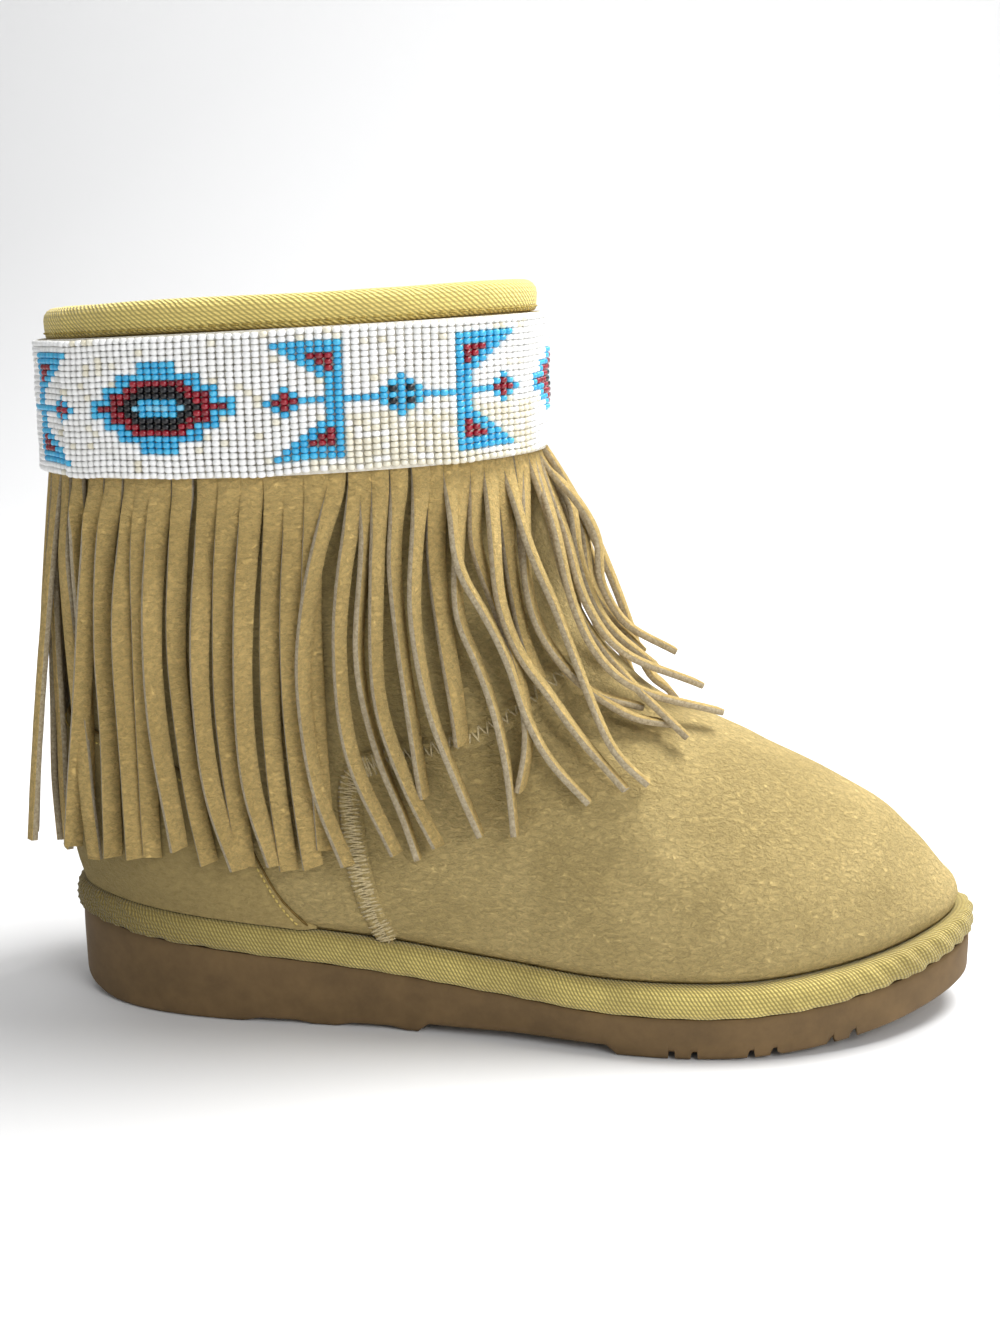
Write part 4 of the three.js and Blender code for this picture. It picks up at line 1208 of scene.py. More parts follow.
# Section of the folded tape: the drop from the collar's edge, and how far off the upper.
OUTER_FOLD = GAP + BINDING_THICKNESS
INNER_FOLD = -WALL - OUTER_FOLD
COLLAR_PROFILE = [
    (BINDING_DEPTH + 0.1, -0.2), (BINDING_DEPTH, 0.6), (BINDING_DEPTH - 0.5, OUTER_FOLD),
    (4, OUTER_FOLD + 0.25), (2, OUTER_FOLD + 0.35), (0.6, OUTER_FOLD + 0.1), (-0.6, 0.5),
    (-1.3, -0.6), (-1.5, -WALL / 2), (-1.3, -WALL + 0.4), (-0.6, INNER_FOLD + 0.6),
    (0.6, INNER_FOLD + 0.1), (2, INNER_FOLD), (4, INNER_FOLD), (BINDING_DEPTH, INNER_FOLD + 0.1),
    (BINDING_DEPTH + 0.1, -WALL), (3, -WALL - GAP), (1, -WALL), (1, -0.3), (3, 0.1),
]

# Its outer face is uneven, and puckered where its ends meet (middle and reach, as turns).
COLLAR_WAVE = 0.4
PUCKER = 0.48
PUCKER_AT = (0.75, 0.35)

# The stitches near its lower edge: pitch, length, and how far their ends are pulled in.
COLLAR_STITCH = (3.0, 2.3)
STITCH_RISE = 1.3
STITCH_SAG = 0.35


def make_collar_tape():
    turns = closed_turns(420)
    lengths = ring_lengths(last_point(turns, 1))[:-1]
    wave = 0.3 * np.sin(lengths / 9) + 0.25 * np.sin(lengths / 4.1 + 1)
    puckered = PUCKER * hump(turns, *PUCKER_AT)
    rings = []
    for drop, out in COLLAR_PROFILE:
        bulge = COLLAR_WAVE * (wave + puckered * np.sin(lengths / 1.6 - 0.55 * drop))
        level = below_collar(drop + 0.25 * np.sin(lengths / 15))
        rings.append(form(turns, level, out + bulge * (out > 0.5)))
    quads, round_at, along_at = tube_faces(len(rings), len(turns), True)
    uv = tape_uv(rings, round_at, along_at)
    made = shape("collar_tape", np.array(rings), quads, [material("collar tape")], uv=uv)
    finish_piece(made, "twill_tape", "collar_binding")
    stitched = []
    for out, side in ((OUTER_FOLD + 0.35, 1), (INNER_FOLD - 0.3, -1)):
        line = form(np.linspace(0, TURN, 901), below_collar(BINDING_DEPTH - STITCH_RISE), out)
        stitched += dashes(line, *COLLAR_STITCH, STITCH_SAG * side)
    points, faces = rods(stitched, 0.26)
    stitches = shape("collar_stitches", points, faces, [material("tape thread")])
    return finish_piece(stitches, "twill_tape")


# The beaded band.

EYE = {"outer": [9, 9, 7, 7, 5, 5, 2, 2], "red": [8, 6, 6, 4, 3], "black": [5, 4, 3, 2],
       "inner": [3, 2], "white": [1]}
MOTIF_COLUMNS = 56
EYE_PIXEL = 156
BAND_END = 14
CREAM_COLUMN = 32


def bead_colour(place, row):
    """The band's chart: an eye at column 0 and a barred diamond half a repeat away."""
    dx = (place + MOTIF_COLUMNS // 2) % MOTIF_COLUMNS - MOTIF_COLUMNS // 2
    up = abs(row)
    for key, colour in (("white", "light blue bead"), ("inner", "blue bead"),
                        ("black", "black bead"), ("red", "red bead"), ("outer", "blue bead")):
        reach = EYE[key]
        if up < len(reach) and abs(dx) <= reach[up]:
            if key == "inner" and up == 0 and abs(dx) == 3:
                return "light blue bead"
            return colour
    d = abs(abs(dx) - MOTIF_COLUMNS // 2)
    if d == 1 and up == 1:
        return "black bead"
    if d <= 2 and up <= 3 - d:
        return "blue bead"
    if 5 <= up <= 7 and 8 <= d <= 7 + (up - 4):
        return "red bead"
    if d in (7, 8) and up <= 9:
        return "blue bead"
    if 4 <= up <= 9 and 8 < d <= 7 + (up - 2):
        return "blue bead"
    if up == 0 and 3 <= d <= 10:
        return "blue bead"
    lozenge = abs(d - 13) + up
    if lozenge <= 1:
        return "red bead"
    if lozenge == 2:
        return "blue bead"
    return None


BEAD_KINDS = ["white bead", "cream bead", "blue bead", "light blue bead", "red bead", "black bead"]

# A bead's section, along its hole and from the hole's axis, and what the beads are laid with.
BEAD_PROFILE = [(-0.76, 0.55), (-0.56, 1.02), (0, 1.15), (0.56, 1.02), (0.76, 0.55)]
BEAD_SIDES = 8
BEAD_RADIUS = 1.15
JITTER = 0.04
TILT = 0.06
SIZE_SPREAD = 0.03

# Where the band's ends overlap, one lies on the other and sinks to the rest over a few beads.
OVERLAP_LIFT = 0.9
OVERLAP_BEADS = 4.0

# Low beads near one column are mostly stained to cream, and a few are elsewhere.
STAIN_ROW = -2
STAIN_COSINE = 0.86
STAINED = 0.75
UNSTAINED = 0.05


def bead_form():
    """One bead: a short barrel standing on its hole's axis."""
    angle = np.arange(BEAD_SIDES) * TURN / BEAD_SIDES
    points = np.concatenate([np.stack([r * np.cos(angle), r * np.sin(angle),
                                       np.full(BEAD_SIDES, z)], -1) for z, r in BEAD_PROFILE])
    quads, _, _ = tube_faces(len(BEAD_PROFILE), BEAD_SIDES, False)
    ring = list(range(BEAD_SIDES))
    last = len(points) - BEAD_SIDES
    return points, quads.tolist() + [ring[::-1], [last + i for i in ring]]


def first_bead(turns, level):
    """The place among the turns of the bead that the picture shows at the eye's middle."""
    rim = form(turns, level, BAND_INNER + 2.1)
    miss = np.abs(to_picture(rim)[0][:, 0] - EYE_PIXEL)
    return int(np.argmin(np.where(turns < math.pi, miss, np.inf)))


def bead_points(turn, level, place, row, columns, rng):
    """The corners of every bead, standing on the band with small differences."""
    lifted = OVERLAP_LIFT * np.exp(-((place + BAND_END) % columns) / OVERLAP_BEADS)
    out = BAND_INNER + BEAD_RADIUS + 0.12 * np.sin(row * 0.9 + place * 0.3) + lifted
    centre = form(turn, level, out + rng.normal(0, JITTER, len(turn)))
    normal = last_normal(turn, level)
    side = np.cross([0, 0, 1.0], normal)
    side /= np.linalg.norm(side, axis=1, keepdims=True)
    upright = np.cross(normal, side)
    tilt = rng.normal(0, TILT, (len(turn), 1))
    upright = upright * np.cos(tilt) + side * np.sin(tilt)
    side = np.cross(upright, normal)
    size = rng.normal(1, SIZE_SPREAD, (len(turn), 1, 1))
    bead, _ = bead_form()
    return centre[:, None] + size * (bead[:, 0, None] * side[:, None]
                                     + bead[:, 1, None] * normal[:, None]
                                     + bead[:, 2, None] * upright[:, None])


def make_beads():
    sizes = bpy.context.scene.boot_sizes
    columns, rows = sizes.bead_columns, sizes.bead_rows
    rng = np.random.RandomState(11)
    middle = (BAND_DROP + BAND_BOTTOM) / 2
    turns, _ = even_turns(columns * 4, below_collar(middle), 0)
    first = first_bead(turns, below_collar(middle))

    place, row = np.meshgrid(np.arange(columns), np.arange(rows) - rows // 2)
    place, row = place.ravel(), row.ravel()
    turn = turns[(first + 4 * place) % len(turns)]
    sway = 0.35 * np.sin(place * 0.21) + 0.22 * np.sin(place * 0.57 + 1)
    drop = middle - row * BAND_HEIGHT / rows + sway * (0.3 + 0.7 * (0.5 - row / rows))
    points = bead_points(turn, below_collar(drop), place, row, columns, rng)

    kinds = [bead_colour(a, b) for a, b in zip(place.tolist(), row.tolist())]
    near = np.cos((place - CREAM_COLUMN) * TURN / columns) > STAIN_COSINE
    chance = np.where((row < STAIN_ROW) & near, STAINED, UNSTAINED)
    creamy = rng.uniform(0, 1, len(kinds)) < chance
    kinds = [kind or ("cream bead" if cream else "white bead") for kind, cream in zip(kinds, creamy)]
    materials = [material(kind) for kind in BEAD_KINDS]
    _, bead_faces = bead_form()
    for name, chosen in (("outer", turn < math.pi), ("inner", turn >= math.pi)):
        group = np.flatnonzero(chosen)
        starts = np.arange(len(group)) * points.shape[1]
        faces = [[i + start for i in face] for start in starts.tolist() for face in bead_faces]
        slots = np.repeat([BEAD_KINDS.index(kinds[i]) for i in group], len(bead_faces))
        made = shape("beads_" + name, points[group], faces, materials, slots=slots)
        if name == "outer":
            finish_piece(made, "glass_beads", "beaded_band")
        else:
            finish_piece(made, "glass_beads")


def sleeve(name, inside, thickness, low, high, finish):
    """A closed ring of cloth or suede round the shaft, between two drops below the collar."""
    turns = closed_turns(360)
    outside = inside + thickness
    profile = [(low, inside), (low, outside), (high, outside), (high, inside)]
    rings = [form(turns, below_collar(drop), out) for drop, out in profile]
    quads, _, _ = tube_faces(len(profile), len(turns), True)
    return shape(name, np.array(rings), quads, [material(finish)])


def make_band_backing():
    """The cloth behind the beads, up to the band's two edges."""
    made = sleeve("band_backing", BAND_INNER, 0.7, BAND_BOTTOM + 0.3, BAND_DROP - 0.3, "backing")
    made.data.set_sharp_from_angle(angle=math.radians(40))
    return finish_piece(made, "glass_beads")


# The fringe.

# Strands laid one by one where the picture shows them: the picture column of the root, the angles in
# degrees between the strand's face and the camera near its root and at its end, and then picture
# places with how far the strand stands off the boot there.
LAID = [
    (78, (35, 60), [(78, 560, 0.5), (84, 650, 0.5), (88, 740, 1), (90, 800, 1)]),
    (96, (25, 10), [(89, 576, 2), (82, 695, 3), (73, 845, 4)]),
    (114, (20, 5), [(106, 560, 0.5), (104, 645, 1), (110, 758, 1), (113, 856, 2)]),
    (134, (15, 5), [(124, 576, 2), (122, 645, 2.5), (129, 758, 2.5), (136, 858, 3)]),
    (146, (10, 5), [(142, 576, 0), (146, 700, 0), (153, 856, 0.5)]),
    (160, (12, 30), [(152, 600, 2.5), (156, 713, 3), (179, 849, 3)]),
    (182, (10, 10), [(178, 560, 0.5), (177, 667, 0.5), (191, 781, 1), (209, 863, 1.5)]),
    (207, (14, 28), [(201, 600, 2.5), (200, 690, 3), (212, 790, 3.5), (239, 870, 3.5)]),
    (229, (8, 15), [(223, 600, 0.5), (223, 690, 0.5), (230, 760, 1), (246, 866, 1)]),
    (251, (12, 30), [(244, 600, 2.5), (243, 700, 3), (252, 790, 3), (276, 866, 3)]),
    (274, (5, 10), [(270, 600, 0.5), (270, 700, 1), (276, 780, 1), (289, 870, 1.5)]),
    (294, (8, 12), [(291, 600, 2), (292, 700, 2), (300, 780, 2), (313, 867, 2.5)]),
    (315, (10, 20), [(312, 560, 0), (312, 640, 0), (318, 740, 0), (326, 850, 0.5)]),
    (336, (36, 42), [(316, 560, 3), (304, 640, 4), (304, 704, 4), (318, 790, 4), (348, 866, 3)]),
    (357, (36, 40), [(343, 576, 3), (339, 660, 3.5), (352, 758, 4), (396, 854, 3)]),
    (367, (60, 80), [(364, 560, 0.5), (359, 660, 0.5), (377, 748, 0.5), (403, 815, 1),
        (418, 859, 1)]),
    (379, (36, 42), [(376, 576, 3), (378, 695, 3.5), (405, 780, 4), (438, 847, 3)]),
    (398, (48, 62), [(394, 560, 2), (401, 640, 2), (410, 704, 2), (418, 758, 2), (424, 797, 1.5)]),
    (420, (48, 78), [(414, 570, 3.5), (415, 630, 3.5), (430, 710, 3.5), (456, 780, 3),
        (480, 836, 2)]),
    (436, (20, 50), [(436, 560, 0.5), (446, 640, 0.5), (456, 700, 0.5), (462, 745, 0.5)]),
    (450, (70, 80), [(457, 563, 6), (486, 617, 6), (509, 665, 5), (526, 717, 4), (550, 762, 3),
        (588, 803, 1.5)]),
    (462, (60, 82), [(458, 560, 3), (459, 617, 3), (476, 658, 3), (494, 708, 3), (508, 770, 2),
        (515, 836, 1.5)]),
    (475, (50, 70), [(474, 540, 2), (488, 585, 2.5), (508, 640, 3), (524, 700, 3), (527, 749, 2),
        (519, 790, 1)]),
    (489, (55, 80), [(494, 531, 5), (500, 600, 6), (520, 654, 5), (548, 692, 5), (580, 737, 4),
        (626, 790, 1.5)]),
    (498, (40, 60), [(506, 530, 1.5), (512, 580, 1.5), (524, 640, 1.5), (540, 680, 1.5)]),
    (506, (72, 82), [(529, 545, 8), (556, 608, 9), (575, 658, 8), (594, 708, 7), (616, 754, 5),
        (648, 784, 1.5)]),
    (518, (60, 80), [(524, 560, 3), (536, 622, 4), (572, 676, 4), (629, 716, 3), (668, 724, 1.5)]),
    (524, (70, 82), [(526, 540, 4), (528, 590, 5), (545, 640, 5), (590, 690, 4), (640, 706, 2)]),
    (530, (75, 84), [(551, 524, 6), (566, 585, 8), (592, 635, 7), (629, 681, 6), (665, 717, 4),
        (687, 738, 2)]),
    (535, (75, 84), [(556, 530, 9), (572, 600, 10), (598, 656, 9), (640, 690, 6), (720, 711, 3)]),
    (539, (75, 84), [(566, 536, 8), (584, 600, 10), (622, 652, 8), (698, 684, 4)]),
    (542, (70, 80), [(570, 500, 6), (580, 560, 8), (606, 622, 7), (657, 667, 3)]),
    (544, (75, 84), [(576, 500, 10), (598, 540, 14), (600, 580, 12), (626, 624, 6),
        (674, 651, 2)]),
    (545, (70, 80), [(566, 484, 3), (584, 530, 5), (590, 580, 5), (612, 616, 3), (644, 652, 1)]),
]


# A pixel this far beside the boot, or a surface seen this edge-on, takes its depth from nearby.
BESIDE_PIXELS = 8
GRAZING = 0.4

# A strand's section and samples, its room over the raised seam and its room over the suede.
STRAND_RINGS = 34
STRAND_THICKNESS = 1.9
STRAND_CORNER = 0.3
FALL_STEPS = 18
CLEAR = 2 * GAP + SEAM_THICKNESS
SKIN = GAP + 0.6

# Strands seen face on are wider than their pitch, and all are wider near the root.
FLAT_TURN = 30
FLAT_SPREAD = 1.26
ROOT_SPREAD = 0.16
ROOT_REACH = 0.2
TIP_WIDTH = 0.95
EDGE_WAVE = 0.035
EDGE_WAVES = 11

# Roots start above the band's foot. Each second one stands a little further out, and falling
# strands keep a small turn away from the first laid one.
ROOT_RISE = 2
ROOT_STEP = 0.22
ROOT_GAP = 0.07
HEM_FALL = 3
HEM_OUT = 1.1

# Small differences between falling strands: lean at the root and at the end, room and length.
SWAY = 0.06
LATE_SWAY = 0.1
LOOSENESS = 2.2
LONGER = 2
LENGTH_SPREAD = (-2.5, 2)
TWIST_SPREAD = 0.15

# Strands at the front slide towards the inner side, from this share of the way round.
INNER_SLIDE = 0.45
SLIDE_FROM = 0.7
SLIDE_OVER = 0.25


class Boot:
    """The upper's outside as samples, for strands to lie on."""

    def __init__(self):
        turn, level = np.meshgrid(closed_turns(240), np.linspace(0.02, 1, 120))
        self.points = last_point(turn, level).reshape(-1, 3)
        self.normals = last_normal(turn, level).reshape(-1, 3)
        self.tree = kdtree.KDTree(len(self.points))
        for i, point in enumerate(self.points):
            self.tree.insert(point, i)
        self.tree.balance()
        away = self.points - np.array(CAMERA_PLACE)
        self.facing = (away * self.normals).sum(1) < 0

    def lift(self, point, clear):
        """The point moved off the boot where it is nearer than clear, and the way off."""
        _, index, _ = self.tree.find(point)
        normal = self.normals[index]
        off = (point - self.points[index]) @ normal
        if off < clear:
            point = point + normal * (clear - off)
        return point, normal

    def under_pixel(self, u, v, out):
        """The place that the picture shows at a pixel, standing off the boot by out."""
        raised = self.points + self.normals * out
        seen, _ = to_picture(raised)
        miss = np.hypot(seen[:, 0] - u, seen[:, 1] - v)
        index = int(np.argmin(np.where(self.facing, miss, np.inf)))
        ray = sight_line(u, v)
        away = raised[index] - np.array(CAMERA_PLACE)
        normal = self.normals[index]
        grazing = abs(ray @ normal) < GRAZING * np.linalg.norm(ray)
        if miss[index] > BESIDE_PIXELS or grazing:
            return np.array(CAMERA_PLACE) + ray * (away @ CAMERA_AHEAD)
        return np.array(CAMERA_PLACE) + ray * (away @ normal) / (ray @ normal)


def even_path(points, count):
    points = np.asarray(points)
    stop = np.linspace(0, len(points) - 1, 200)
    fine = np.stack([catmull(points[:, k], stop) for k in range(3)], -1)
    walked = walk(fine)
    return places_along(fine, walked, np.linspace(0, walked[-1], count))


def unit(vectors):
    return vectors / (np.linalg.norm(vectors, axis=-1, keepdims=True) + TINY)


def root_of(turn):
    """Where a strand starts under the band, and the way it faces there."""
    here, top = np.array([turn]), below_collar(BAND_BOTTOM - ROOT_RISE)
    point = form(here, top, GAP + SUEDE_STRIP / 2)[0]
    away = last_normal(here, top)[0]
    away[2] = 0
    return point, unit(away)


def normals_along(boot, path):
    return np.array([boot.lift(point, 0)[1] for point in path])


def settle(boot, path, faces, width):
    """The path moved off the boot by what the strand's turned section needs."""
    for _ in range(2):
        across = np.linalg.norm(np.cross(faces, normals_along(boot, path)), axis=1)
        need = SKIN + across * width / 2 + (1 - across) * STRAND_THICKNESS / 2
        need *= smooth(np.linspace(0, 8, len(path)))
        path = np.array([boot.lift(point, clear)[0] for point, clear in zip(path, need)])
        inner = (path[:-2] + 2 * path[1:-1] + path[2:]) / 4
        path = np.concatenate([path[:1], inner, path[-1:]])
    return path


def falling_strand(boot, turn, width, rng):
    """A strand that hangs and leans as the table of the fringe says."""
    at = turn / math.pi if turn <= math.pi else 2 - turn / math.pi
    point, away = root_of(turn)
    sway, late_sway = rng.gauss(0, SWAY), rng.gauss(0, LATE_SWAY)
    looser = rng.uniform(0, LOOSENESS)
    length = bpy.context.scene.boot_sizes.strand_length / MM
    step = (length + LONGER + rng.uniform(*LENGTH_SPREAD)) / FALL_STEPS
    slide = INNER_SLIDE * smooth((at - SLIDE_FROM) / SLIDE_OVER)
    path = [point]
    for k in range(1, FALL_STEPS + 1):
        t = k / FALL_STEPS
        lean = lerp(fall["early"](at), fall["late"](at), smooth(t * 1.2 - 0.3))
        lean = lean + lerp(sway, late_sway, t)
        push = fall["out"](at) * (1 - 2 * t)
        aside = slide * smooth(1.5 * t)
        heading = unit(np.array([lean + push * away[0], aside + push * away[1], -1]))
        before = path[-1]
        clear = (CLEAR + STRAND_THICKNESS / 2 + looser) * clamp01(k / 4) + GAP
        point = boot.lift(before + heading * step, clear)[0]
        for _ in range(3):
            point = before + unit(point - before) * step
            point = boot.lift(point, clear)[0]
        path.append(point)
    path = even_path(path, STRAND_RINGS)
    along = unit(np.gradient(path, axis=0))
    t = np.linspace(0, 1, STRAND_RINGS)[:, None]
    faces = unit(lerp(away[None], normals_along(boot, path), smooth(2 * t)))
    twist = math.pi / 2 * fall["twist"](at) * rng.uniform(0.4, 1) + rng.gauss(0, TWIST_SPREAD)
    angle = twist * smooth((t - 0.08) * 1.4)
    faces = faces * np.cos(angle) + np.cross(along, faces) * np.sin(angle)
    return settle(boot, path, faces, width), faces


def laid_strand(boot, turn, width, turned, places):
    """A strand that passes the picture places of its row, turned as the row says."""
    point, away = root_of(turn)
    hem = form(np.array([turn]), below_collar(BAND_BOTTOM + HEM_FALL), GAP + HEM_OUT)[0]
    path = [point, hem] + [boot.under_pixel(u, v, CLEAR + out) for u, v, out in places]
    path = even_path(path, STRAND_RINGS)
    along = unit(np.gradient(path, axis=0))
    t = np.linspace(0, 1, STRAND_RINGS)[:, None]
    to_camera = unit(np.array(CAMERA_PLACE) - path)
    to_camera = unit(to_camera - (to_camera * along).sum(1)[:, None] * along)
    rightwards = np.cross(to_camera, along)
    angle = np.radians(lerp(*turned, t))
    seen = to_camera * np.cos(angle) + rightwards * np.sin(angle)
    faces = unit(lerp(away[None], seen, smooth((t - 0.03) / 0.18)))
    return settle(boot, path, faces, width), faces


def strand_mesh(path, faces, width, slant, phase):
    """Eight-cornered rings along a strand, the outer face first."""
    along = unit(np.gradient(path, axis=0))
    side = unit(np.cross(along, faces))
    thick = np.cross(side, along)
    t = np.linspace(0, 1, len(path))
    half = width / 2 * (1 + EDGE_WAVE * np.sin(EDGE_WAVES * t + phase)) * lerp(1, TIP_WIDTH, t)
    half = half * (1 + ROOT_SPREAD * (1 - smooth(t / ROOT_REACH)))
    deep = STRAND_THICKNESS / 2 * smooth(t * 14 + 0.55)
    cut, flat = half - STRAND_CORNER, deep - STRAND_CORNER
    wide = np.stack([-cut, cut, half, half, cut, -cut, -half, -half], -1)
    out = np.stack([deep, deep, flat, -flat, -deep, -deep, -flat, flat], -1)
    rings = path[:, None] + wide[..., None] * side[:, None] + out[..., None] * thick[:, None]
    rings[-1] += (slant * wide[-1])[:, None] * along[-1]
    return rings


def laid_turns():
    """Where the laid strands have their roots, from their columns of the picture."""
    fine = np.linspace(-0.2, 0.99 * math.pi, 900)
    rims = form(fine % TURN, below_collar(BAND_BOTTOM), GAP + SUEDE_STRIP)
    pixels = to_picture(rims)[0][:, 0]
    seen = slice(int(np.argmin(pixels)), int(np.argmax(pixels)) + 1)
    roots = [float(np.interp(row[0], pixels[seen], fine[seen])) for row in LAID]
    return roots, fine[seen][-1] - roots[0]


def make_fringe():
    rng = random.Random(23)
    boot = Boot()
    turns, pitch = even_turns(STRAND_COUNT, below_collar(BAND_BOTTOM))
    roots, covered = laid_turns()
    strands = [(turn, None) for turn in turns
               if covered < (turn - roots[0]) % TURN < TURN - ROOT_GAP]
    strands += [(turn % TURN, row) for turn, row in zip(roots, LAID)]
    points, faces, slots = [], [], []
    for k, (turn, row) in enumerate(strands):
        wide = (pitch - STRAND_SLIT) * rng.uniform(0.93, 1.03)
        if row:
            _, turned, places = row
            wide *= FLAT_SPREAD if turned[0] < FLAT_TURN else 1.0
            path, facing = laid_strand(boot, turn, wide, turned, places)
        else:
            path, facing = falling_strand(boot, turn, wide, rng)
        path = path + ROOT_STEP * (k % 2) * facing
        rings = strand_mesh(path, facing, wide, rng.gauss(0, 0.12), rng.uniform(0, 6))
        first = 8 * STRAND_RINGS * k
        points.append(rings.reshape(-1, 3))
        quads, round_at, _ = tube_faces(len(rings), 8, False)
        faces += (quads + first).tolist()
        slots += [0 if c in (0, 1, 7) else 1 for c in round_at.reshape(-1, 4)[:, 0]]
        last = first + (len(rings) - 1) * 8
        faces += [list(range(last, last + 8)), list(range(first + 7, first - 1, -1))]
        slots += [1, 1]
    made = shape("fringe_strands", np.concatenate(points), faces,
                 [material("fringe nap"), material("cut edge")], slots=slots)
    made.data.set_sharp_from_angle(angle=math.radians(50))
    finish_piece(made, "fringe_suede", "fringe")
    header = sleeve("fringe_header", GAP, SUEDE_STRIP, BAND_BOTTOM - 0.5, BAND_DROP, "fringe nap")
    return finish_piece(header, "fringe_suede")


# The stage, in metres.

LIGHTS = [
    {"name": "overhead", "place": (0.45, 0.25, 1.1), "aim": (0, 0, 0.1), "size": 0.8, "power": 25},
    {"name": "front", "place": (0.95, -1.0, 0.85), "aim": (0, 0, 0.1), "size": 0.9, "power": 11},
    {"name": "rear", "place": (-0.9, 0.8, 0.9), "aim": (0, 0, 0.1), "size": 0.8, "power": 2.5},
    {"name": "backdrop", "place": (0, 0.5, 1.5), "aim": (0, 1.7, 0.9), "size": 1.0, "power": 14},
]
FLOOR_HALF = 8.0
WALL_AT = 1.7
WALL_TOP = 3.0
WALL_BEND = 0.7
FLOOR_GREY = 0.7
WORLD_COLOUR = (0.97, 0.98, 1, 1)
WORLD_STRENGTH = 0.45


def place_in_scene(name, data):
    made = bpy.data.objects.new(name, data)
    bpy.context.scene.collection.objects.link(made)
    return made


def make_floor():
    """A pale floor that curves up into a backdrop."""
    section = [(-FLOOR_HALF, 0.0)]
    for angle in np.linspace(0, math.pi / 2, 17):
        section.append((WALL_AT - WALL_BEND * (1 - math.sin(angle)),
                        WALL_BEND * (1 - math.cos(angle))))
    section.append((WALL_AT, WALL_TOP))
    points = [(x, y, z) for y, z in section for x in (-FLOOR_HALF, FLOOR_HALF)]
    faces = [(2 * i, 2 * i + 1, 2 * i + 3, 2 * i + 2) for i in range(len(section) - 1)]
    mesh = bpy.data.meshes.new("floor")
    mesh.from_pydata(points, [], faces)
    mesh.shade_smooth()
    pale, _, shader = new_material("pale floor", 0.7, specular=0.2)
    shader.inputs["Base Color"].default_value = (FLOOR_GREY, FLOOR_GREY, FLOOR_GREY, 1)
    mesh.materials.append(pale)
    floor = place_in_scene("floor", mesh)


def make_lights():
    """Soft light from above and the front, and a weak even light from all round."""
    world = bpy.data.worlds.new("studio")
    world.use_nodes = True
    background = world.node_tree.nodes["Background"]
    background.inputs["Color"].default_value = WORLD_COLOUR
    background.inputs["Strength"].default_value = WORLD_STRENGTH
    bpy.context.scene.world = world
    bpy.context.scene.view_settings.view_transform = "Standard"
    for row in LIGHTS:
        data = bpy.data.lights.new(row["name"], "AREA")
        data.shape = "DISK"
        data.size = row["size"]
        data.energy = row["power"]
        light = place_in_scene(row["name"], data)
        light.location = row["place"]
        aim = Vector(row["aim"]) - light.location
        light.rotation_euler = aim.to_track_quat("-Z", "Y").to_euler()


def make_camera():
    data = bpy.data.cameras.new("view")
    data.sensor_width = SENSOR
    data.lens = SENSOR * FOCAL_PIXELS / PICTURE[1]
    data.clip_start = 0.01
    camera = place_in_scene("view", data)
    place = (np.array(CAMERA_PLACE) + SHIFT) * MM
    turn = Matrix([CAMERA_RIGHT.tolist(), CAMERA_UP.tolist(), (-CAMERA_AHEAD).tolist()]).transposed()
    camera.matrix_world = Matrix.Translation(place.tolist()) @ turn.to_4x4()
    bpy.context.scene.camera = camera


# Operators and the panel.

class BOOT_OT_stage(bpy.types.Operator):
    """Makes the floor, the lights and the camera"""
    bl_idname = "boot.stage"
    bl_label = "Stage"

    def execute(self, context):
        make_camera()
        make_floor()
        make_lights()
        return {"FINISHED"}


class BOOT_OT_upper(bpy.types.Operator):
    """Makes the suede upper, its fleece lining and the footbed"""
    bl_idname = "boot.upper"
    bl_label = "Suede upper"

    def execute(self, context):
        make_suede_upper()
        make_fleece()
        make_footbed()
        return {"FINISHED"}


class BOOT_OT_overlays(bpy.types.Operator):
    """Makes the heel overlay, its stitches and the raised zigzag seam"""
    bl_idname = "boot.overlays"
    bl_label = "Overlay and raised seam"

    def execute(self, context):
        make_heel_overlay()
        make_raised_seam()
        return {"FINISHED"}


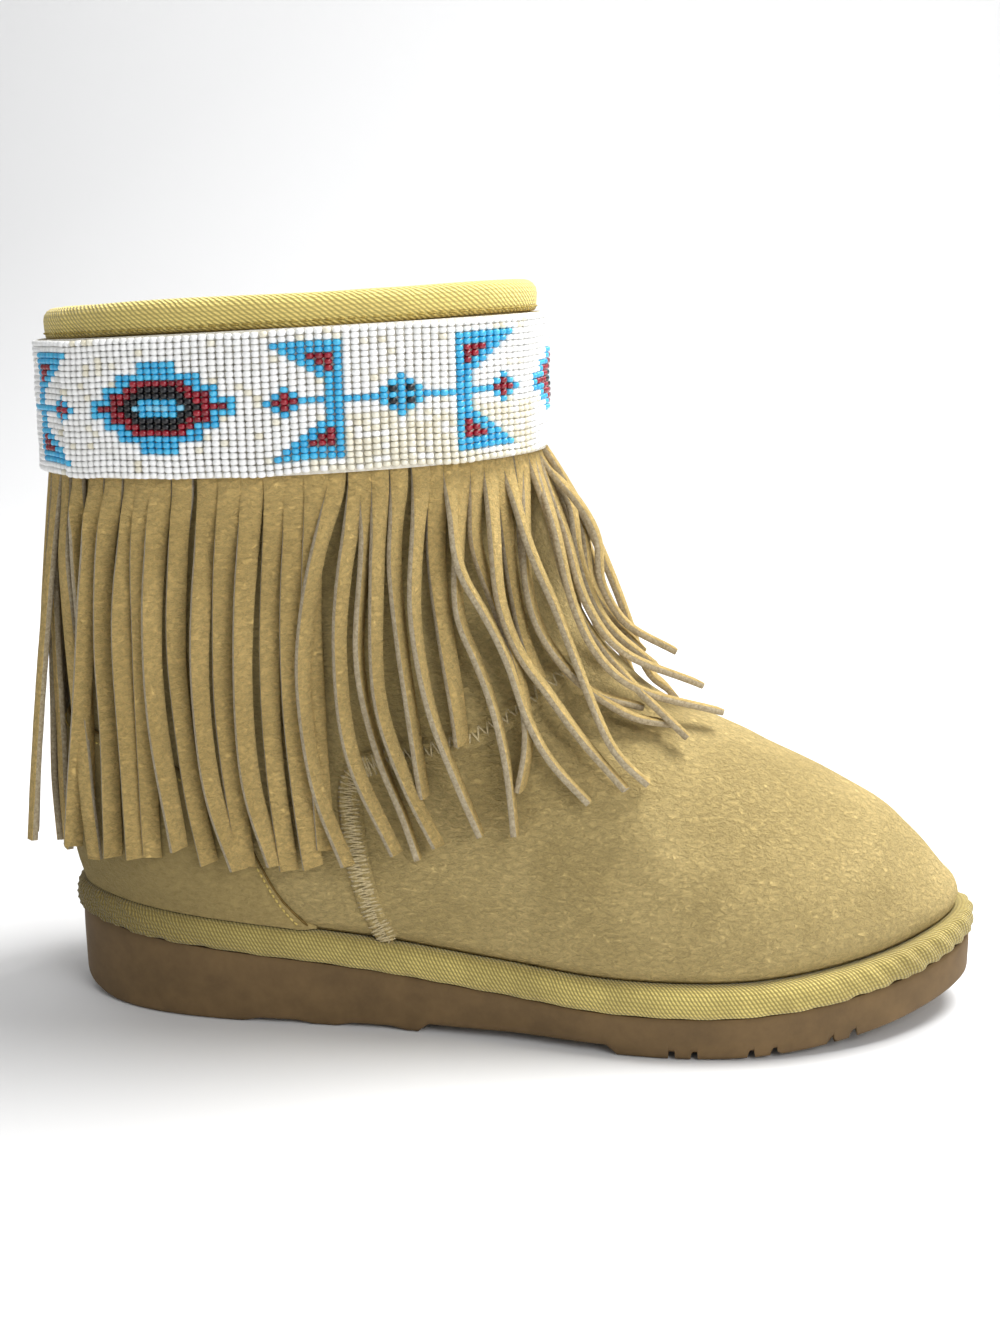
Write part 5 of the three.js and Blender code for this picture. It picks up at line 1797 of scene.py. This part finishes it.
class BOOT_OT_sole(bpy.types.Operator):
    """Makes the moulded outsole and the taped platform"""
    bl_idname = "boot.sole"
    bl_label = "Sole"

    def execute(self, context):
        make_outsole()
        make_taped_platform()
        return {"FINISHED"}


class BOOT_OT_collar(bpy.types.Operator):
    """Makes the folded tape round the collar and its stitches"""
    bl_idname = "boot.collar"
    bl_label = "Collar tape"

    def execute(self, context):
        make_collar_tape()
        return {"FINISHED"}


class BOOT_OT_beads(bpy.types.Operator):
    """Makes the loom-beaded band, bead by bead"""
    bl_idname = "boot.beads"
    bl_label = "Beaded band"

    def execute(self, context):
        make_beads()
        make_band_backing()
        return {"FINISHED"}


class BOOT_OT_fringe(bpy.types.Operator):
    """Makes the suede fringe, strand by strand"""
    bl_idname = "boot.fringe"
    bl_label = "Fringe"

    def execute(self, context):
        make_fringe()
        return {"FINISHED"}


OPERATORS = (BOOT_OT_stage, BOOT_OT_sole, BOOT_OT_upper, BOOT_OT_overlays, BOOT_OT_collar,
             BOOT_OT_beads, BOOT_OT_fringe)


class BOOT_PT_panel(bpy.types.Panel):
    """Lists the boot's pieces and settings"""
    bl_label = "Fringed suede boot"
    bl_idname = "BOOT_PT_panel"
    bl_space_type = "VIEW_3D"
    bl_region_type = "UI"
    bl_category = "Boot"

    def draw(self, context):
        for operator in OPERATORS:
            self.layout.operator(operator.bl_idname)
        for group in (context.scene.boot_colours, context.scene.boot_sizes):
            for name in group.__annotations__:
                self.layout.prop(group, name)


CLASSES = (BootColours, BootSizes) + OPERATORS + (BOOT_PT_panel,)


def register():
    for made in CLASSES:
        bpy.utils.register_class(made)
    bpy.types.Scene.boot_colours = PointerProperty(type=BootColours)
    bpy.types.Scene.boot_sizes = PointerProperty(type=BootSizes)


def unregister():
    del bpy.types.Scene.boot_sizes
    del bpy.types.Scene.boot_colours
    for made in reversed(CLASSES):
        bpy.utils.unregister_class(made)


def main():
    register()
    make_effects()
    for operator in OPERATORS:
        group, name = operator.bl_idname.split(".")
        getattr(getattr(bpy.ops, group), name)()


if __name__ == "__main__":
    main()
